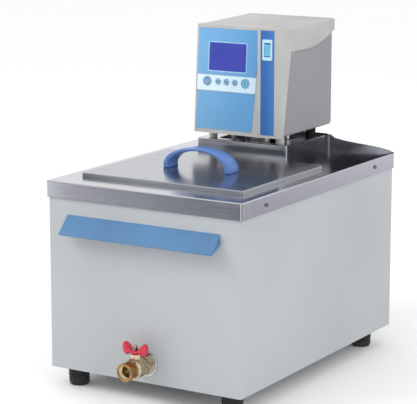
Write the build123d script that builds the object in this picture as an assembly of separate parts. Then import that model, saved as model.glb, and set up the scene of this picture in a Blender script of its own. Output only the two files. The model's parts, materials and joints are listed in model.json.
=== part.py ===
from build123d import *
import os
from math import atan2, cos, degrees, sin

# Heated circulating water bath: a square-cased tank on four feet, with a lift-off lid at the
# front and a controller head, which carries the pump and heater, on a low pedestal at the back.
# Millimetres. +X is the right-hand side seen from the front, +Y is the back, +Z is up. The
# origin is on the bench under the middle of the overall box, drain valve to hose ports.

# ---- driving dimensions -------------------------------------------------------------------
DECK_W = 320.0          # deck width
DECK_D = 461.0          # deck depth, front edge to back edge
DECK_TOP = 300.0        # deck surface above the bench
DECK_SKIRT = 24.0       # depth of the deck's turned-down edge
VALVE_REACH = 52.5      # drain valve beyond the deck's front edge
REAR_REACH = 26.0       # hose ports beyond the deck's back edge
FOOT_H = 28.7           # underside of the casing above the bench
SHEET = 1.2             # casing, deck and pedestal sheet
OVERHANG = 2.5          # deck edge beyond the casing, all round

FRONT = VALVE_REACH - (DECK_D + VALVE_REACH + REAR_REACH) / 2   # y of the deck's front edge
BACK = FRONT + DECK_D

CASE_W = DECK_W - 2 * OVERHANG
CASE_FRONT = FRONT + OVERHANG
CASE_BACK = BACK - OVERHANG

TANK_W = 262.0          # outside
TANK_D = 366.0
TANK_FRONT = FRONT + 44.0
TANK_BOTTOM = 104.0
TANK_WALL = 1.0
TANK_R = 12.0           # outside corner radius

MOUTH_W = 235.0         # bath opening in the deck
MOUTH_D = 208.0
MOUTH_Y = FRONT + 164.0
MOUTH_R = 6.0           # corner radius of the opening
PUMP_HOLE_W = 105.0     # opening under the pedestal
PUMP_HOLE_D = 72.0

LID_W = 266.0
LID_D = 232.0
LID_RISE = 6.0

HEAD_X = -23.5          # middle of the head
HEAD_W = 147.0          # chassis width
CHASSIS_FRONT = FRONT + 304.5   # foot of the chassis's leaning front edge
HEAD_BACK = FRONT + 460.0
HEAD_FLOOR = 334.0      # underside of the chassis
HEAD_TOP = 495.5
PED_X = -29.0
PED_W = 156.0
PED_FRONT = FRONT + 320.0
PED_BACK = FRONT + 455.0
PED_H = 20.0
WORK_X = -25.0          # middle of the pump, heater and sensors
WORK_Y = FRONT + 366.0

BEZEL_BOTTOM = 333.0
BEZEL_Y = FRONT + 298.0         # lower front edge of the main panel
BEZEL_LEAN = 11.0               # main panel leans back over its height
RETURN_FOOT = FRONT + 306.0     # back edge of the side returns at their foot
BEZEL_LEFT = HEAD_X - HEAD_W / 2 - 1.5
BEZEL_RIGHT = HEAD_X + HEAD_W / 2 + 1.5
RIB_X = 12.0                    # left edge of the upright rib beside the main panel
RIB_Y = FRONT + 297.0
RIB_TURN = 4.0                  # right edge of the rib lies this far behind its left edge
WALL = 3.0                      # moulded walls
CHEEK = 1.8                     # wall that closes the rib's left side back to the main panel

VALVE_X = 5.0
VALVE_Z = 57.0
BALL_Y = FRONT - 24.0
BALL_R = 9.0
VALVE_BORE = 6.5
SPOUT_BORE = 9.3

RUN_GAP = 0.05                  # radial clearance of a shaft in its bearing

os.makedirs("parts", exist_ok=True)


# ---- helpers ------------------------------------------------------------------------------
def block(x0, x1, y0, y1, z0, z1):
    """Box from its six faces."""
    return Pos((x0 + x1) / 2, (y0 + y1) / 2, (z0 + z1) / 2) * Box(x1 - x0, y1 - y0, z1 - z0)


def rod(x, y, z0, z1, radius):
    """Upright cylinder."""
    return Pos(x, y, (z0 + z1) / 2) * Cylinder(radius, z1 - z0)


def rod_y(x, z, y0, y1, radius):
    """Cylinder along Y."""
    return Pos(x, (y0 + y1) / 2, z) * Rot(90, 0, 0) * Cylinder(radius, y1 - y0)


def rod_x(y, z, x0, x1, radius):
    """Cylinder along X."""
    return Pos((x0 + x1) / 2, y, z) * Rot(0, 90, 0) * Cylinder(radius, x1 - x0)


def hex_y(x, z, y0, y1, across_flats):
    """Hexagonal prism along Y."""
    profile = RegularPolygon(across_flats / 2, 6, major_radius=False)
    return Pos(x, y1, z) * Rot(90, 0, 0) * extrude(profile, y1 - y0)


def hex_z(x, y, z0, z1, across_flats):
    """Hexagonal prism along Z."""
    profile = RegularPolygon(across_flats / 2, 6, major_radius=False)
    return Pos(x, y, z0) * extrude(profile, z1 - z0)


def profile_x(points, x0, x1):
    """Prism along X from (y, z) points."""
    face = make_face(Polyline([(0, y, z) for y, z in points], close=True))
    return Pos(x0, 0, 0) * extrude(face, x1 - x0, dir=(1, 0, 0))


def upright(shape, radius):
    """Round the shape's vertical edges."""
    return fillet(shape.edges().filter_by(Axis.Z), radius)


def spun(points, x, z):
    """Solid turned about the line through (x, z) along Y, from (y, radius) points."""
    face = make_face(Polyline([(radius, y, 0) for y, radius in points], close=True))
    return Pos(x, 0, z) * revolve(face, Axis.Y)


def pan_screw(length, radius, head_radius, head_height):
    """Cross-recess screw: head on +Z at the origin, shank downwards."""
    head = fillet(
        (Pos(0, 0, head_height / 2) * Cylinder(head_radius, head_height))
        .edges().filter_by(GeomType.CIRCLE).sort_by(Axis.Z)[-1:],
        head_height * 0.45,
    )
    shank = Pos(0, 0, -length / 2) * Cylinder(radius, length)
    slot = Pos(0, 0, head_height) * Box(head_radius * 1.1, head_radius * 0.28, head_height)
    return head + shank - slot - Rot(0, 0, 90) * slot


def facing(direction):
    """Rotation that turns +Z towards an axis direction."""
    turns = {
        "+X": Rot(0, 90, 0), "-X": Rot(0, -90, 0),
        "+Y": Rot(-90, 0, 0), "-Y": Rot(90, 0, 0),
        "+Z": Rot(0, 0, 0), "-Z": Rot(180, 0, 0),
    }
    return turns[direction]


def group(shapes):
    """Separate solids kept together in one node."""
    return Compound(children=[solid for shape in shapes for solid in shape.solids()])


def write(name, shape):
    solids = shape.solids()
    kept = solids[0] if len(solids) == 1 else Compound(children=list(solids))
    export_step(kept, f"parts/{name}.step")


# ---- base: casing, tank, deck ---------------------------------------------------------------
HALF = CASE_W / 2
FEET = [(sx * 128.0, FRONT + y) for sx in (-1, 1) for y in (30.0, 421.0)]
DECK_SCREWS = [(side, FRONT + y) for side in (-1, 1) for y in (64.5, 394.0)]
DECK_SCREW_Z = 287.0
GRIP_TOP = 254.0
GRIP_W = 249.0
GRIP_DROP = 24.0
GRIP_OUT = 24.0
GRIP_WALL = 3.0
GRIP_SCREW_X = (-100.0, 100.0)
GRIP_SCREW_Z = GRIP_TOP - 9.0
REAR_SCREWS = [(sx * 146.0, z) for sx in (-1, 1) for z in (45.0, 165.0, 268.0)]
PANEL_SCREW = (8.0, 1.5, 3.0, 1.8)
CASE_TOP = DECK_TOP - SHEET - 0.4


def casing_shell():
    """Front and both sides of the casing from one folded sheet, with inward flanges."""
    y_end = CASE_BACK - SHEET
    outer = block(-HALF, HALF, CASE_FRONT, y_end, FOOT_H, CASE_TOP)
    front_edges = outer.edges().filter_by(Axis.Z).sort_by(Axis.Y)[:2]
    outer = fillet(front_edges, 3.0)
    inner = block(-HALF + SHEET, HALF - SHEET, CASE_FRONT + SHEET, y_end, FOOT_H + SHEET, CASE_TOP)
    inner = fillet(inner.edges().filter_by(Axis.Z).sort_by(Axis.Y)[:2], 1.8)
    floor_cut = block(-HALF + 46, HALF - 46, CASE_FRONT + 46, y_end, FOOT_H, FOOT_H + SHEET)
    shell = outer - inner - floor_cut
    for side in (-1, 1):
        flange = block(HALF - 14, HALF - SHEET, y_end - SHEET, y_end, FOOT_H + SHEET, CASE_TOP)
        shell += flange if side > 0 else mirror(flange, Plane.YZ)
    for x, y in FEET:
        shell -= rod(x, y, FOOT_H - 1, FOOT_H + 3, 2.6)
    for side, y in DECK_SCREWS:
        shell -= rod_x(y, DECK_SCREW_Z, side * HALF - 3, side * HALF + 3, 1.55)
    for x in GRIP_SCREW_X:
        shell -= rod_y(x, GRIP_SCREW_Z, CASE_FRONT - 1, CASE_FRONT + 3, 1.55)
    for x, z in REAR_SCREWS:
        shell -= rod_y(x, z, y_end - 3, y_end + 1, 1.55)
    return shell - rod_y(VALVE_X, VALVE_Z, CASE_FRONT - 1, CASE_FRONT + 3, 10.6)


def rear_panel():
    """Flat back of the casing, with two rows of cooling louvres."""
    panel = block(-HALF, HALF, CASE_BACK - SHEET, CASE_BACK, FOOT_H, CASE_TOP)
    panel = fillet(panel.edges().filter_by(Axis.Y), 2.0)
    for sx in (-1, 1):
        for row in range(6):
            z = 62.0 + 9.0 * row
            panel -= block(sx * 75 - 32, sx * 75 + 32, CASE_BACK - 3, CASE_BACK + 1, z, z + 3.5)
    for x, z in REAR_SCREWS:
        panel -= rod_y(x, z, CASE_BACK - 3, CASE_BACK + 1, 1.55)
    for x in GRIP_SCREW_X:
        panel -= rod_y(x, GRIP_SCREW_Z, CASE_BACK - 3, CASE_BACK + 1, 1.55)
    return panel


def base_plate():
    """Floor sheet that rests on the casing's inward flanges."""
    low = FOOT_H + SHEET
    plate = block(-HALF + 2, HALF - 2, CASE_FRONT + 2, CASE_BACK - 3.2, low, low + SHEET)
    for x, y in FEET:
        plate -= rod(x, y, low - 1, low + 3, 2.6)
    for row in range(9):
        y = FRONT + 110 + 28 * row
        plate -= block(-60, 60, y, y + 5, low - 1, low + 3)
    return plate


def foot(x, y):
    """Tapered rubber foot with a recess for its screw."""
    body = Pos(x, y, FOOT_H / 2) * Cone(14.5, 16.5, FOOT_H)
    rim = body.edges().filter_by(GeomType.CIRCLE).sort_by(Axis.Z)[:1]
    body = fillet(rim, 1.5)
    return body - rod(x, y, -1, 12, 6.0) - rod(x, y, 0, FOOT_H + 1, 2.3)


def foot_screw(x, y):
    """Screw up through the foot into a nut on the base plate."""
    floor = FOOT_H + 2 * SHEET
    nut = hex_z(x, y, floor, floor + 4, 8.0) - rod(x, y, floor - 1, floor + 6, 2.2)
    screw = Pos(x, y, 12) * facing("-Z") * pan_screw(floor + 6 - 12, 2.2, 4.4, 2.6)
    return screw + nut


def tank():
    """Deep-drawn bath vessel with a rim under the deck and a drain hole in its floor."""
    back = TANK_FRONT + TANK_D
    top = DECK_TOP - SHEET
    outer = block(-TANK_W / 2, TANK_W / 2, TANK_FRONT, back, TANK_BOTTOM, top)
    outer = fillet(upright(outer, TANK_R).edges().sort_by(Axis.Z)[:8], 3)
    wall = TANK_WALL
    inner = block(-TANK_W / 2 + wall, TANK_W / 2 - wall, TANK_FRONT + wall, back - wall,
                  TANK_BOTTOM + wall, top)
    inner = fillet(upright(inner, TANK_R - wall).edges().sort_by(Axis.Z)[:8], 3 - wall)
    rim = block(-TANK_W / 2 - 9, TANK_W / 2 + 9, TANK_FRONT - 9, back + 9, top - wall, top)
    vessel = outer + upright(rim, TANK_R + 6) - inner
    return vessel - rod(VALVE_X, TANK_FRONT + 42, TANK_BOTTOM - 1, TANK_BOTTOM + 3, 7.5)


def insulation():
    """Mineral-wool jacket round the tank's walls and floor."""
    thick = 18.0
    gap = 0.6
    back = TANK_FRONT + TANK_D
    top = DECK_TOP - 30
    outer = block(-TANK_W / 2 - thick, TANK_W / 2 + thick, TANK_FRONT - thick, back + thick,
                  TANK_BOTTOM - thick, top)
    inner = block(-TANK_W / 2 - gap, TANK_W / 2 + gap, TANK_FRONT - gap, back + gap,
                  TANK_BOTTOM - gap, top)
    jacket = upright(outer, 30) - upright(inner, TANK_R)
    return jacket - rod(VALVE_X, TANK_FRONT + 42, TANK_BOTTOM - 30, TANK_BOTTOM + 2, 12)


UPSTAND = [(78.0, 18.5), (84.0, 14.0), (100.0, 11.0), (120.0, 9.0), (140.0, 7.4), (160.0, 5.4), (178.0, 2.0)]


def rear_upstand():
    """Low splash guard along the deck's back edge, sweeping down from the pedestal to the corners."""
    base = DECK_TOP - SHEET / 2
    outlines = []
    for side, limit in ((1, DECK_W / 2 - 3.5 - PED_X), (-1, DECK_W / 2 - 3.5 + PED_X)):
        reach = limit / UPSTAND[-1][0]
        edge = [(PED_X + side * max(PED_W / 2, run * reach), DECK_TOP + rise) for run, rise in UPSTAND]
        outlines.append(edge)
    points = list(reversed(outlines[1])) + outlines[0]
    points = [(points[0][0], base)] + points + [(points[-1][0], base)]
    face = make_face(Polyline([(x, 0, z) for x, z in points], close=True))
    return Pos(0, PED_BACK + 0.8, 0) * extrude(face, SHEET, dir=(0, 1, 0))


def deck():
    """Top plate with a turned-down skirt, the bath opening and the opening for the pump."""
    half = DECK_W / 2
    plate = block(-half, half, FRONT, BACK, DECK_TOP - DECK_SKIRT, DECK_TOP)
    plate = fillet(upright(plate, 3.0).faces().sort_by(Axis.Z)[-1].edges(), 1.6)
    inside = block(-half + SHEET, half - SHEET, FRONT + SHEET, BACK - SHEET,
                   DECK_TOP - DECK_SKIRT, DECK_TOP - SHEET)
    shell = plate - upright(inside, 1.8)
    mouth = block(-MOUTH_W / 2, MOUTH_W / 2, MOUTH_Y - MOUTH_D / 2, MOUTH_Y + MOUTH_D / 2,
                  DECK_TOP - 3, DECK_TOP + 1)
    pump_hole = block(WORK_X - PUMP_HOLE_W / 2, WORK_X + PUMP_HOLE_W / 2,
                      WORK_Y - PUMP_HOLE_D / 2, WORK_Y + PUMP_HOLE_D / 2,
                      DECK_TOP - 3, DECK_TOP + 1)
    shell += rear_upstand()
    shell = shell - upright(mouth, MOUTH_R) - upright(pump_hole, 8)
    for side, y in DECK_SCREWS:
        shell -= rod_x(y, DECK_SCREW_Z, side * half - 3, side * half + 3, 1.55)
    return shell


def grip(face_y, out):
    """Wedge-shaped carrying grip: a sloping plate closed by two end cheeks, open underneath."""
    thick = GRIP_WALL
    plate_points = [
        (face_y, GRIP_TOP), (face_y + out * GRIP_OUT, GRIP_TOP - GRIP_DROP),
        (face_y + out * (GRIP_OUT - 1.5), GRIP_TOP - GRIP_DROP - 1.5),
        (face_y + out * thick, GRIP_TOP - thick - 1.5),
        (face_y + out * thick, GRIP_TOP - 15), (face_y, GRIP_TOP - 15),
    ]
    cheek_points = [
        (face_y, GRIP_TOP), (face_y + out * GRIP_OUT, GRIP_TOP - GRIP_DROP),
        (face_y + out * (GRIP_OUT - 1.5), GRIP_TOP - GRIP_DROP - 1.5),
        (face_y, GRIP_TOP - 15),
    ]
    half = GRIP_W / 2
    body = profile_x(plate_points, -half, half)
    body += profile_x(cheek_points, -half, -half + thick)
    body += profile_x(cheek_points, half - thick, half)
    for x in GRIP_SCREW_X:
        body -= rod_y(x, GRIP_SCREW_Z, face_y - 8, face_y + 8, 1.55)
    return body


def pedestal():
    """Low steel box that carries the head, open at the middle for the pump."""
    x0 = PED_X - PED_W / 2
    x1 = PED_X + PED_W / 2
    top = DECK_TOP + PED_H
    box = block(x0, x1, PED_FRONT, PED_BACK, DECK_TOP, top)
    box = fillet(upright(box, 2.5).faces().sort_by(Axis.Z)[-1].edges(), 1.4)
    inside = block(x0 + SHEET, x1 - SHEET, PED_FRONT + SHEET, PED_BACK - SHEET, DECK_TOP, top - SHEET)
    box -= upright(inside, 1.3)
    hole = block(WORK_X - 52, WORK_X + 52, WORK_Y - 35, WORK_Y + 35, top - 3, top + 1)
    box -= upright(hole, 8)
    for x, y in SPACERS:
        box -= rod(x, y, top - 3, top + 1, 2.6)
    return box


SPACERS = [(PED_X + sx * 58.5, FRONT + y) for y in (336.0, 432.0) for sx in (-1, 1)]


def spacer(x, y, radius):
    low = DECK_TOP + PED_H
    post = fillet(rod(x, y, low, HEAD_FLOOR, radius).edges().filter_by(GeomType.CIRCLE), 0.8)
    return post - rod(x, y, low - 1, HEAD_FLOOR + 1, 2.6)


def spacer_screw(x, y):
    """Screw down through the head's floor and spacer, with a nut under the pedestal's top."""
    under = DECK_TOP + PED_H - SHEET
    nut = hex_z(x, y, under - 4, under, 8.0) - rod(x, y, under - 5, under + 1, 2.5)
    top = HEAD_FLOOR + 1.5
    return Pos(x, y, top) * pan_screw(top - under + 6, 2.5, 4.6, 2.6) + nut


write("outer_casing", casing_shell())
write("base_rear_panel", rear_panel())
write("base_plate", base_plate())
write("feet", group([foot(x, y) for x, y in FEET]))
write("foot_screws", group([foot_screw(x, y) for x, y in FEET]))
write("tank", tank())
write("insulation_jacket", insulation())
write("deck", deck())
write("front_grip", grip(CASE_FRONT, -1))
write("rear_grip", grip(CASE_BACK, 1))
write("pedestal", pedestal())
write("front_spacers", group([spacer(x, y, 6.5) for x, y in SPACERS[:2]]))
write("rear_spacers", group([spacer(x, y, 8.0) for x, y in SPACERS[2:]]))
write("spacer_screws", group([spacer_screw(x, y) for x, y in SPACERS]))


# ---- drain: pipe, ball valve and its lever ----------------------------------------------------
FLANGE_FACE = CASE_FRONT - 2.5         # front of the wall flange
SPOUT_END = FRONT - VALVE_REACH
BODY_END = BALL_Y - 14.0               # where the spout screws into the body
CHAMBER_R = BALL_R + 1.2
SEAT_GAP = 0.3
STEM_R = 3.5
BONNET_TOP = VALVE_Z + 20.0
LEVER_Z = BONNET_TOP + 0.6
LEVER_SPAN = 20.0                      # hub middle to wing tip


def drain_pipe():
    """Bent tube from the tank's floor, forward through the casing, into the valve."""
    start_y = TANK_FRONT + 42
    path = FilletPolyline((VALVE_X, start_y, TANK_BOTTOM), (VALVE_X, start_y, VALVE_Z),
                          (VALVE_X, FLANGE_FACE - 9, VALVE_Z), radius=24)
    ring = Plane(origin=path @ 0, z_dir=path % 0) * (Circle(10.0) - Circle(7.5))
    return sweep(ring, path)


def wall_flange():
    """Round steel rose round the pipe on the front of the casing."""
    rose = rod_y(VALVE_X, VALVE_Z, FLANGE_FACE, CASE_FRONT, 19.0)
    rose = fillet(rose.edges().filter_by(GeomType.CIRCLE).sort_by(Axis.Y)[:1], 1.2)
    return rose - rod_y(VALVE_X, VALVE_Z, FLANGE_FACE - 1, CASE_FRONT + 1, 10.05)


def valve_body():
    """Brass body: hexagon behind, round ball chamber, gland on top."""
    shape = spun([(FLANGE_FACE, 0), (FLANGE_FACE, 12.5), (BALL_Y + 13, 12.5), (BALL_Y + 9, 14.5),
                  (BALL_Y - 8, 14.5), (BALL_Y - 11, 13.0), (BODY_END, 13.0), (BODY_END, 0)],
                 VALVE_X, VALVE_Z)
    shape += hex_y(VALVE_X, VALVE_Z, FLANGE_FACE - 10, FLANGE_FACE, 27.0)
    shape += rod(VALVE_X, BALL_Y, VALVE_Z, BONNET_TOP - 6, 7.5)
    shape += hex_z(VALVE_X, BALL_Y, BONNET_TOP - 6, BONNET_TOP, 13.0)
    shape -= rod_y(VALVE_X, VALVE_Z, FLANGE_FACE - 9, FLANGE_FACE + 1, 10.0)
    shape -= rod_y(VALVE_X, VALVE_Z, BALL_Y + 5, FLANGE_FACE, VALVE_BORE)
    shape -= rod_y(VALVE_X, VALVE_Z, BODY_END - 1, BALL_Y + 12, CHAMBER_R)
    return shape - rod(VALVE_X, BALL_Y, VALVE_Z, BONNET_TOP + 1, STEM_R + RUN_GAP)


def valve_spout():
    """Threaded end piece that closes the chamber and takes a hose fitting."""
    shape = spun([(SPOUT_END, SPOUT_BORE), (SPOUT_END, 12.2), (SPOUT_END + 1, 13.0),
                  (SPOUT_END + 8, 13.0), (SPOUT_END + 8, 11.5), (BODY_END, 11.5),
                  (BODY_END, CHAMBER_R), (BALL_Y - 12, CHAMBER_R), (BALL_Y - 12, VALVE_BORE),
                  (SPOUT_END + 10, VALVE_BORE), (SPOUT_END + 10, SPOUT_BORE)],
                 VALVE_X, VALVE_Z)
    return shape


def valve_seat(side):
    """Ring that the ball turns against, with a hollow matching the ball."""
    y_far = BALL_Y + side * 12
    y_near = BALL_Y + side * 6.4
    ring = rod_y(VALVE_X, VALVE_Z, min(y_far, y_near), max(y_far, y_near), CHAMBER_R)
    ring -= rod_y(VALVE_X, VALVE_Z, BALL_Y - 20, BALL_Y + 20, VALVE_BORE)
    return ring - Pos(VALVE_X, BALL_Y, VALVE_Z) * Sphere(BALL_R + SEAT_GAP)


def valve_ball():
    """Ball with its bore crosswise: the valve is shut at rest."""
    ball = Pos(VALVE_X, BALL_Y, VALVE_Z) * Sphere(BALL_R)
    ball -= rod_x(BALL_Y, VALVE_Z, VALVE_X - 20, VALVE_X + 20, VALVE_BORE - 0.5)
    return ball - block(VALVE_X - 10, VALVE_X + 10, BALL_Y - 10, BALL_Y + 10,
                        VALVE_Z + 8.2, VALVE_Z + 12)


def valve_stem():
    low = VALVE_Z + 8.2
    return rod(VALVE_X, BALL_Y, low, LEVER_Z + 5, STEM_R) + rod(
        VALVE_X, BALL_Y, LEVER_Z + 5, LEVER_Z + 12, 2.4)


def valve_lever():
    """Two-winged lever: a hub with broad upswept leaves, rounded at their tips."""
    hub = rod(VALVE_X, BALL_Y, LEVER_Z, LEVER_Z + 5, 7.0)
    wing = make_face(Polyline(
        (5, 0, 0), (9, 0, 0.4), (13.5, 0, 3), (17.2, 0, 8), (LEVER_SPAN, 0, 15.5),
        (LEVER_SPAN - 1.5, 0, 16.5), (LEVER_SPAN - 3.5, 0, 15.5), (14.4, 0, 9.6),
        (11.2, 0, 5.8), (8, 0, 4.2), (5, 0, 4), close=True))
    right = extrude(wing, 7.0, both=True, dir=(0, 1, 0)) & rod_x(0, 5.5, 0, LEVER_SPAN + 1, 11.0)
    right = Pos(VALVE_X, BALL_Y, LEVER_Z) * right
    left = Pos(VALVE_X, BALL_Y, 0) * Rot(0, 0, 180) * Pos(-VALVE_X, -BALL_Y, 0) * right
    return hub + right + left - rod(VALVE_X, BALL_Y, LEVER_Z - 1, LEVER_Z + 6, STEM_R)


def lever_nut():
    low = LEVER_Z + 5
    return hex_z(VALVE_X, BALL_Y, low, low + 3.5, 8.0) - rod(VALVE_X, BALL_Y, low - 1, low + 5, 2.4)


write("drain_pipe", drain_pipe())
write("valve_wall_flange", wall_flange())
write("valve_body", valve_body())
write("valve_spout", valve_spout())
write("valve_seats", group([valve_seat(side) for side in (-1, 1)]))
write("valve_ball", valve_ball())
write("valve_stem", valve_stem())
write("valve_lever", valve_lever())
write("lever_nut", lever_nut())


# ---- lid --------------------------------------------------------------------------------------
LID_TOP = DECK_TOP + LID_RISE
LID_SHEET = 1.0
HANDLE_Y = MOUTH_Y - 8.0
HANDLE_BAND = 25.0
HANDLE_OUT = (57.0, 28.0)       # outer half-width, and height above the arch's centre
HANDLE_IN = (46.0, 21.5)        # finger opening
HANDLE_LIFT = 4.0               # arch's centre above the lid
HANDLE_SCREW_X = 51.0


def lid():
    """Folded sheet lid, with a locating ring that drops into the bath opening."""
    x = LID_W / 2
    y0 = MOUTH_Y - LID_D / 2
    y1 = MOUTH_Y + LID_D / 2
    low = DECK_TOP + 0.1
    tray = block(-x, x, y0, y1, low, LID_TOP)
    tray = fillet(upright(tray, 4.0).faces().sort_by(Axis.Z)[-1].edges(), 1.5)
    inside = block(-x + LID_SHEET, x - LID_SHEET, y0 + LID_SHEET, y1 - LID_SHEET,
                   low, LID_TOP - LID_SHEET)
    sheet = tray - upright(inside, 3.0)
    ring_w = MOUTH_W / 2 - 1.5
    ring_d = MOUTH_D / 2 - 1.5
    ring = block(-ring_w, ring_w, MOUTH_Y - ring_d, MOUTH_Y + ring_d,
                 DECK_TOP - 8, LID_TOP - LID_SHEET)
    hollow = block(-ring_w + LID_SHEET, ring_w - LID_SHEET, MOUTH_Y - ring_d + LID_SHEET,
                   MOUTH_Y + ring_d - LID_SHEET, DECK_TOP - 8, LID_TOP - LID_SHEET)
    sheet += upright(ring, MOUTH_R - 1.5) - upright(hollow, MOUTH_R - 2.5)
    for side in (-1, 1):
        sheet -= rod(side * HANDLE_SCREW_X, HANDLE_Y, LID_TOP - 3, LID_TOP + 1, 2.1)
    return sheet


def half_arch(half_width, height, width):
    """Half-elliptical prism standing on the lid, its length along Y."""
    oval = Rot(90, 0, 0) * extrude(Ellipse(half_width, height), width / 2, both=True)
    return Pos(0, HANDLE_Y, LID_TOP + HANDLE_LIFT) * (oval - block(-99, 99, -99, 99, -99, -HANDLE_LIFT))


def lid_handle():
    """Bridge handle: a wide band arched over the finger opening."""
    band = half_arch(*HANDLE_OUT, HANDLE_BAND) - half_arch(*HANDLE_IN, HANDLE_BAND + 4)
    for side in (-1, 1):
        band -= rod(side * HANDLE_SCREW_X, HANDLE_Y, LID_TOP - 1, LID_TOP + 8, 1.9)
    return band


def handle_screw(side):
    """Screw from under the lid into the handle's foot."""
    return Pos(side * HANDLE_SCREW_X, HANDLE_Y, LID_TOP - LID_SHEET) * facing("-Z") * pan_screw(
        8.0, 1.9, 3.8, 2.2)


write("lid", lid())
write("lid_handle", lid_handle())
write("lid_handle_screws", group([handle_screw(side) for side in (-1, 1)]))


# ---- head: chassis, cover and rear panel --------------------------------------------------------
CHASSIS_T = 1.5
CHASSIS_TOP = 486.0
HX0 = HEAD_X - HEAD_W / 2
HX1 = HEAD_X + HEAD_W / 2
FLOOR_TOP = HEAD_FLOOR + CHASSIS_T
COVER_T = 1.5
COVER_BACK = HEAD_BACK + 6.0
COVER_FRONT = FRONT + 328.0
COVER_SIDE = 460.0              # lower edge of the cover's side at the front
COVER_TAIL = 480.5              # lower edge at the back
COVER_RISE = 3.0                # top rises towards the back
SHAFT_X = WORK_X
SHAFT_Y = WORK_Y
SHAFT_R = 4.0
COLUMN_R = 12.0
HEATER_R = 4.0
HEATER_LEGS = [(WORK_X + 30, WORK_Y - 26), (WORK_X + 44, WORK_Y + 10)]
PROBE = (WORK_X - 44, WORK_Y + 4)
FLOAT_AT = (WORK_X - 34, WORK_Y - 18)
PORTS = [(HEAD_X - 34.0, 353.0), (HEAD_X + 34.0, 353.0)]
PIPE_R = 5.0
PIPE_TURN_Y = WORK_Y + 26
FAN_X = HEAD_X - 30.0
FAN_Z = 424.0
FAN_SIZE = 60.0
INLET_X = HEAD_X + 34.0
INLET_Z = 424.0
HEAD_SCREWS = [(HX0 + 7, 345.0), (HX1 - 7, 345.0), (HX0 + 7, 470.0), (HX1 - 7, 470.0)]
REAR_FACE = HEAD_BACK


def floor_holes():
    """Holes in the chassis floor for what hangs into the tank."""
    holes = [(SHAFT_X, SHAFT_Y, 6.0), (*PROBE, 2.6), (*FLOAT_AT, 3.6)]
    holes += [(x, y, HEATER_R + 0.4) for x, y in HEATER_LEGS]
    holes += [(x, PIPE_TURN_Y, PIPE_R + 0.4) for x, z in PORTS]
    holes += [(x, y, 2.6) for x, y in SPACERS]
    return holes


def chassis():
    """Floor and both sides of the head, one folded sheet."""
    y1 = HEAD_BACK - COVER_T
    outer = block(HX0, HX1, CHASSIS_FRONT, y1, HEAD_FLOOR, CHASSIS_TOP)
    outer = fillet(outer.edges().filter_by(Axis.Y).sort_by(Axis.Z)[:2], 4.0)
    inner = block(HX0 + CHASSIS_T, HX1 - CHASSIS_T, CHASSIS_FRONT, y1, FLOOR_TOP, CHASSIS_TOP)
    inner = fillet(inner.edges().filter_by(Axis.Y).sort_by(Axis.Z)[:2], 2.5)
    lean = profile_x([(CHASSIS_FRONT - 9, HEAD_FLOOR - 1), (CHASSIS_FRONT, HEAD_FLOOR),
                      (CHASSIS_FRONT + BEZEL_LEAN, CHASSIS_TOP + 5),
                      (CHASSIS_FRONT - 9, CHASSIS_TOP + 5)], HX0 - 1, HX1 + 1)
    tray = outer - inner - lean
    for x0, x1 in ((HX0 + CHASSIS_T, HX0 + 12), (HX1 - 12, HX1 - CHASSIS_T)):
        tray += block(x0, x1, y1 - CHASSIS_T, y1, FLOOR_TOP + 2.5, CHASSIS_TOP)
    for x, z in HEAD_SCREWS:
        tray -= rod_y(x, z, y1 - 3, y1 + 1, 1.55)
    for x, y, radius in floor_holes():
        tray -= rod(x, y, HEAD_FLOOR - 1, FLOOR_TOP + 1, radius)
    return tray


def head_rear_panel():
    """Back of the head: fan grille, power inlet cut-out and two pump port holes."""
    y0 = HEAD_BACK - COVER_T
    panel = block(HX0, HX1, y0, HEAD_BACK, HEAD_FLOOR + 4, CHASSIS_TOP)
    for row in range(-4, 5):
        z = FAN_Z + 6.0 * row
        reach = (26.0 ** 2 - (6.0 * row) ** 2) ** 0.5
        panel -= block(FAN_X - reach, FAN_X + reach, y0 - 1, HEAD_BACK + 1, z - 1.6, z + 1.6)
    panel -= block(INLET_X - 14, INLET_X + 14, y0 - 1, HEAD_BACK + 1, INLET_Z - 10.5, INLET_Z + 10.5)
    for x, z in PORTS:
        panel -= rod_y(x, z, y0 - 1, HEAD_BACK + 1, 7.6)
    for x, z in HEAD_SCREWS:
        panel -= rod_y(x, z, y0 - 1, HEAD_BACK + 1, 1.55)
    return panel


def cover_side(y):
    """Height of the cover's lower edge: level at first, then sweeping up to the back."""
    run = max(0.0, (y - (COVER_FRONT + 52)) / (COVER_BACK - COVER_FRONT - 52))
    return COVER_SIDE + (COVER_TAIL - COVER_SIDE) * run ** 1.7


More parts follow.
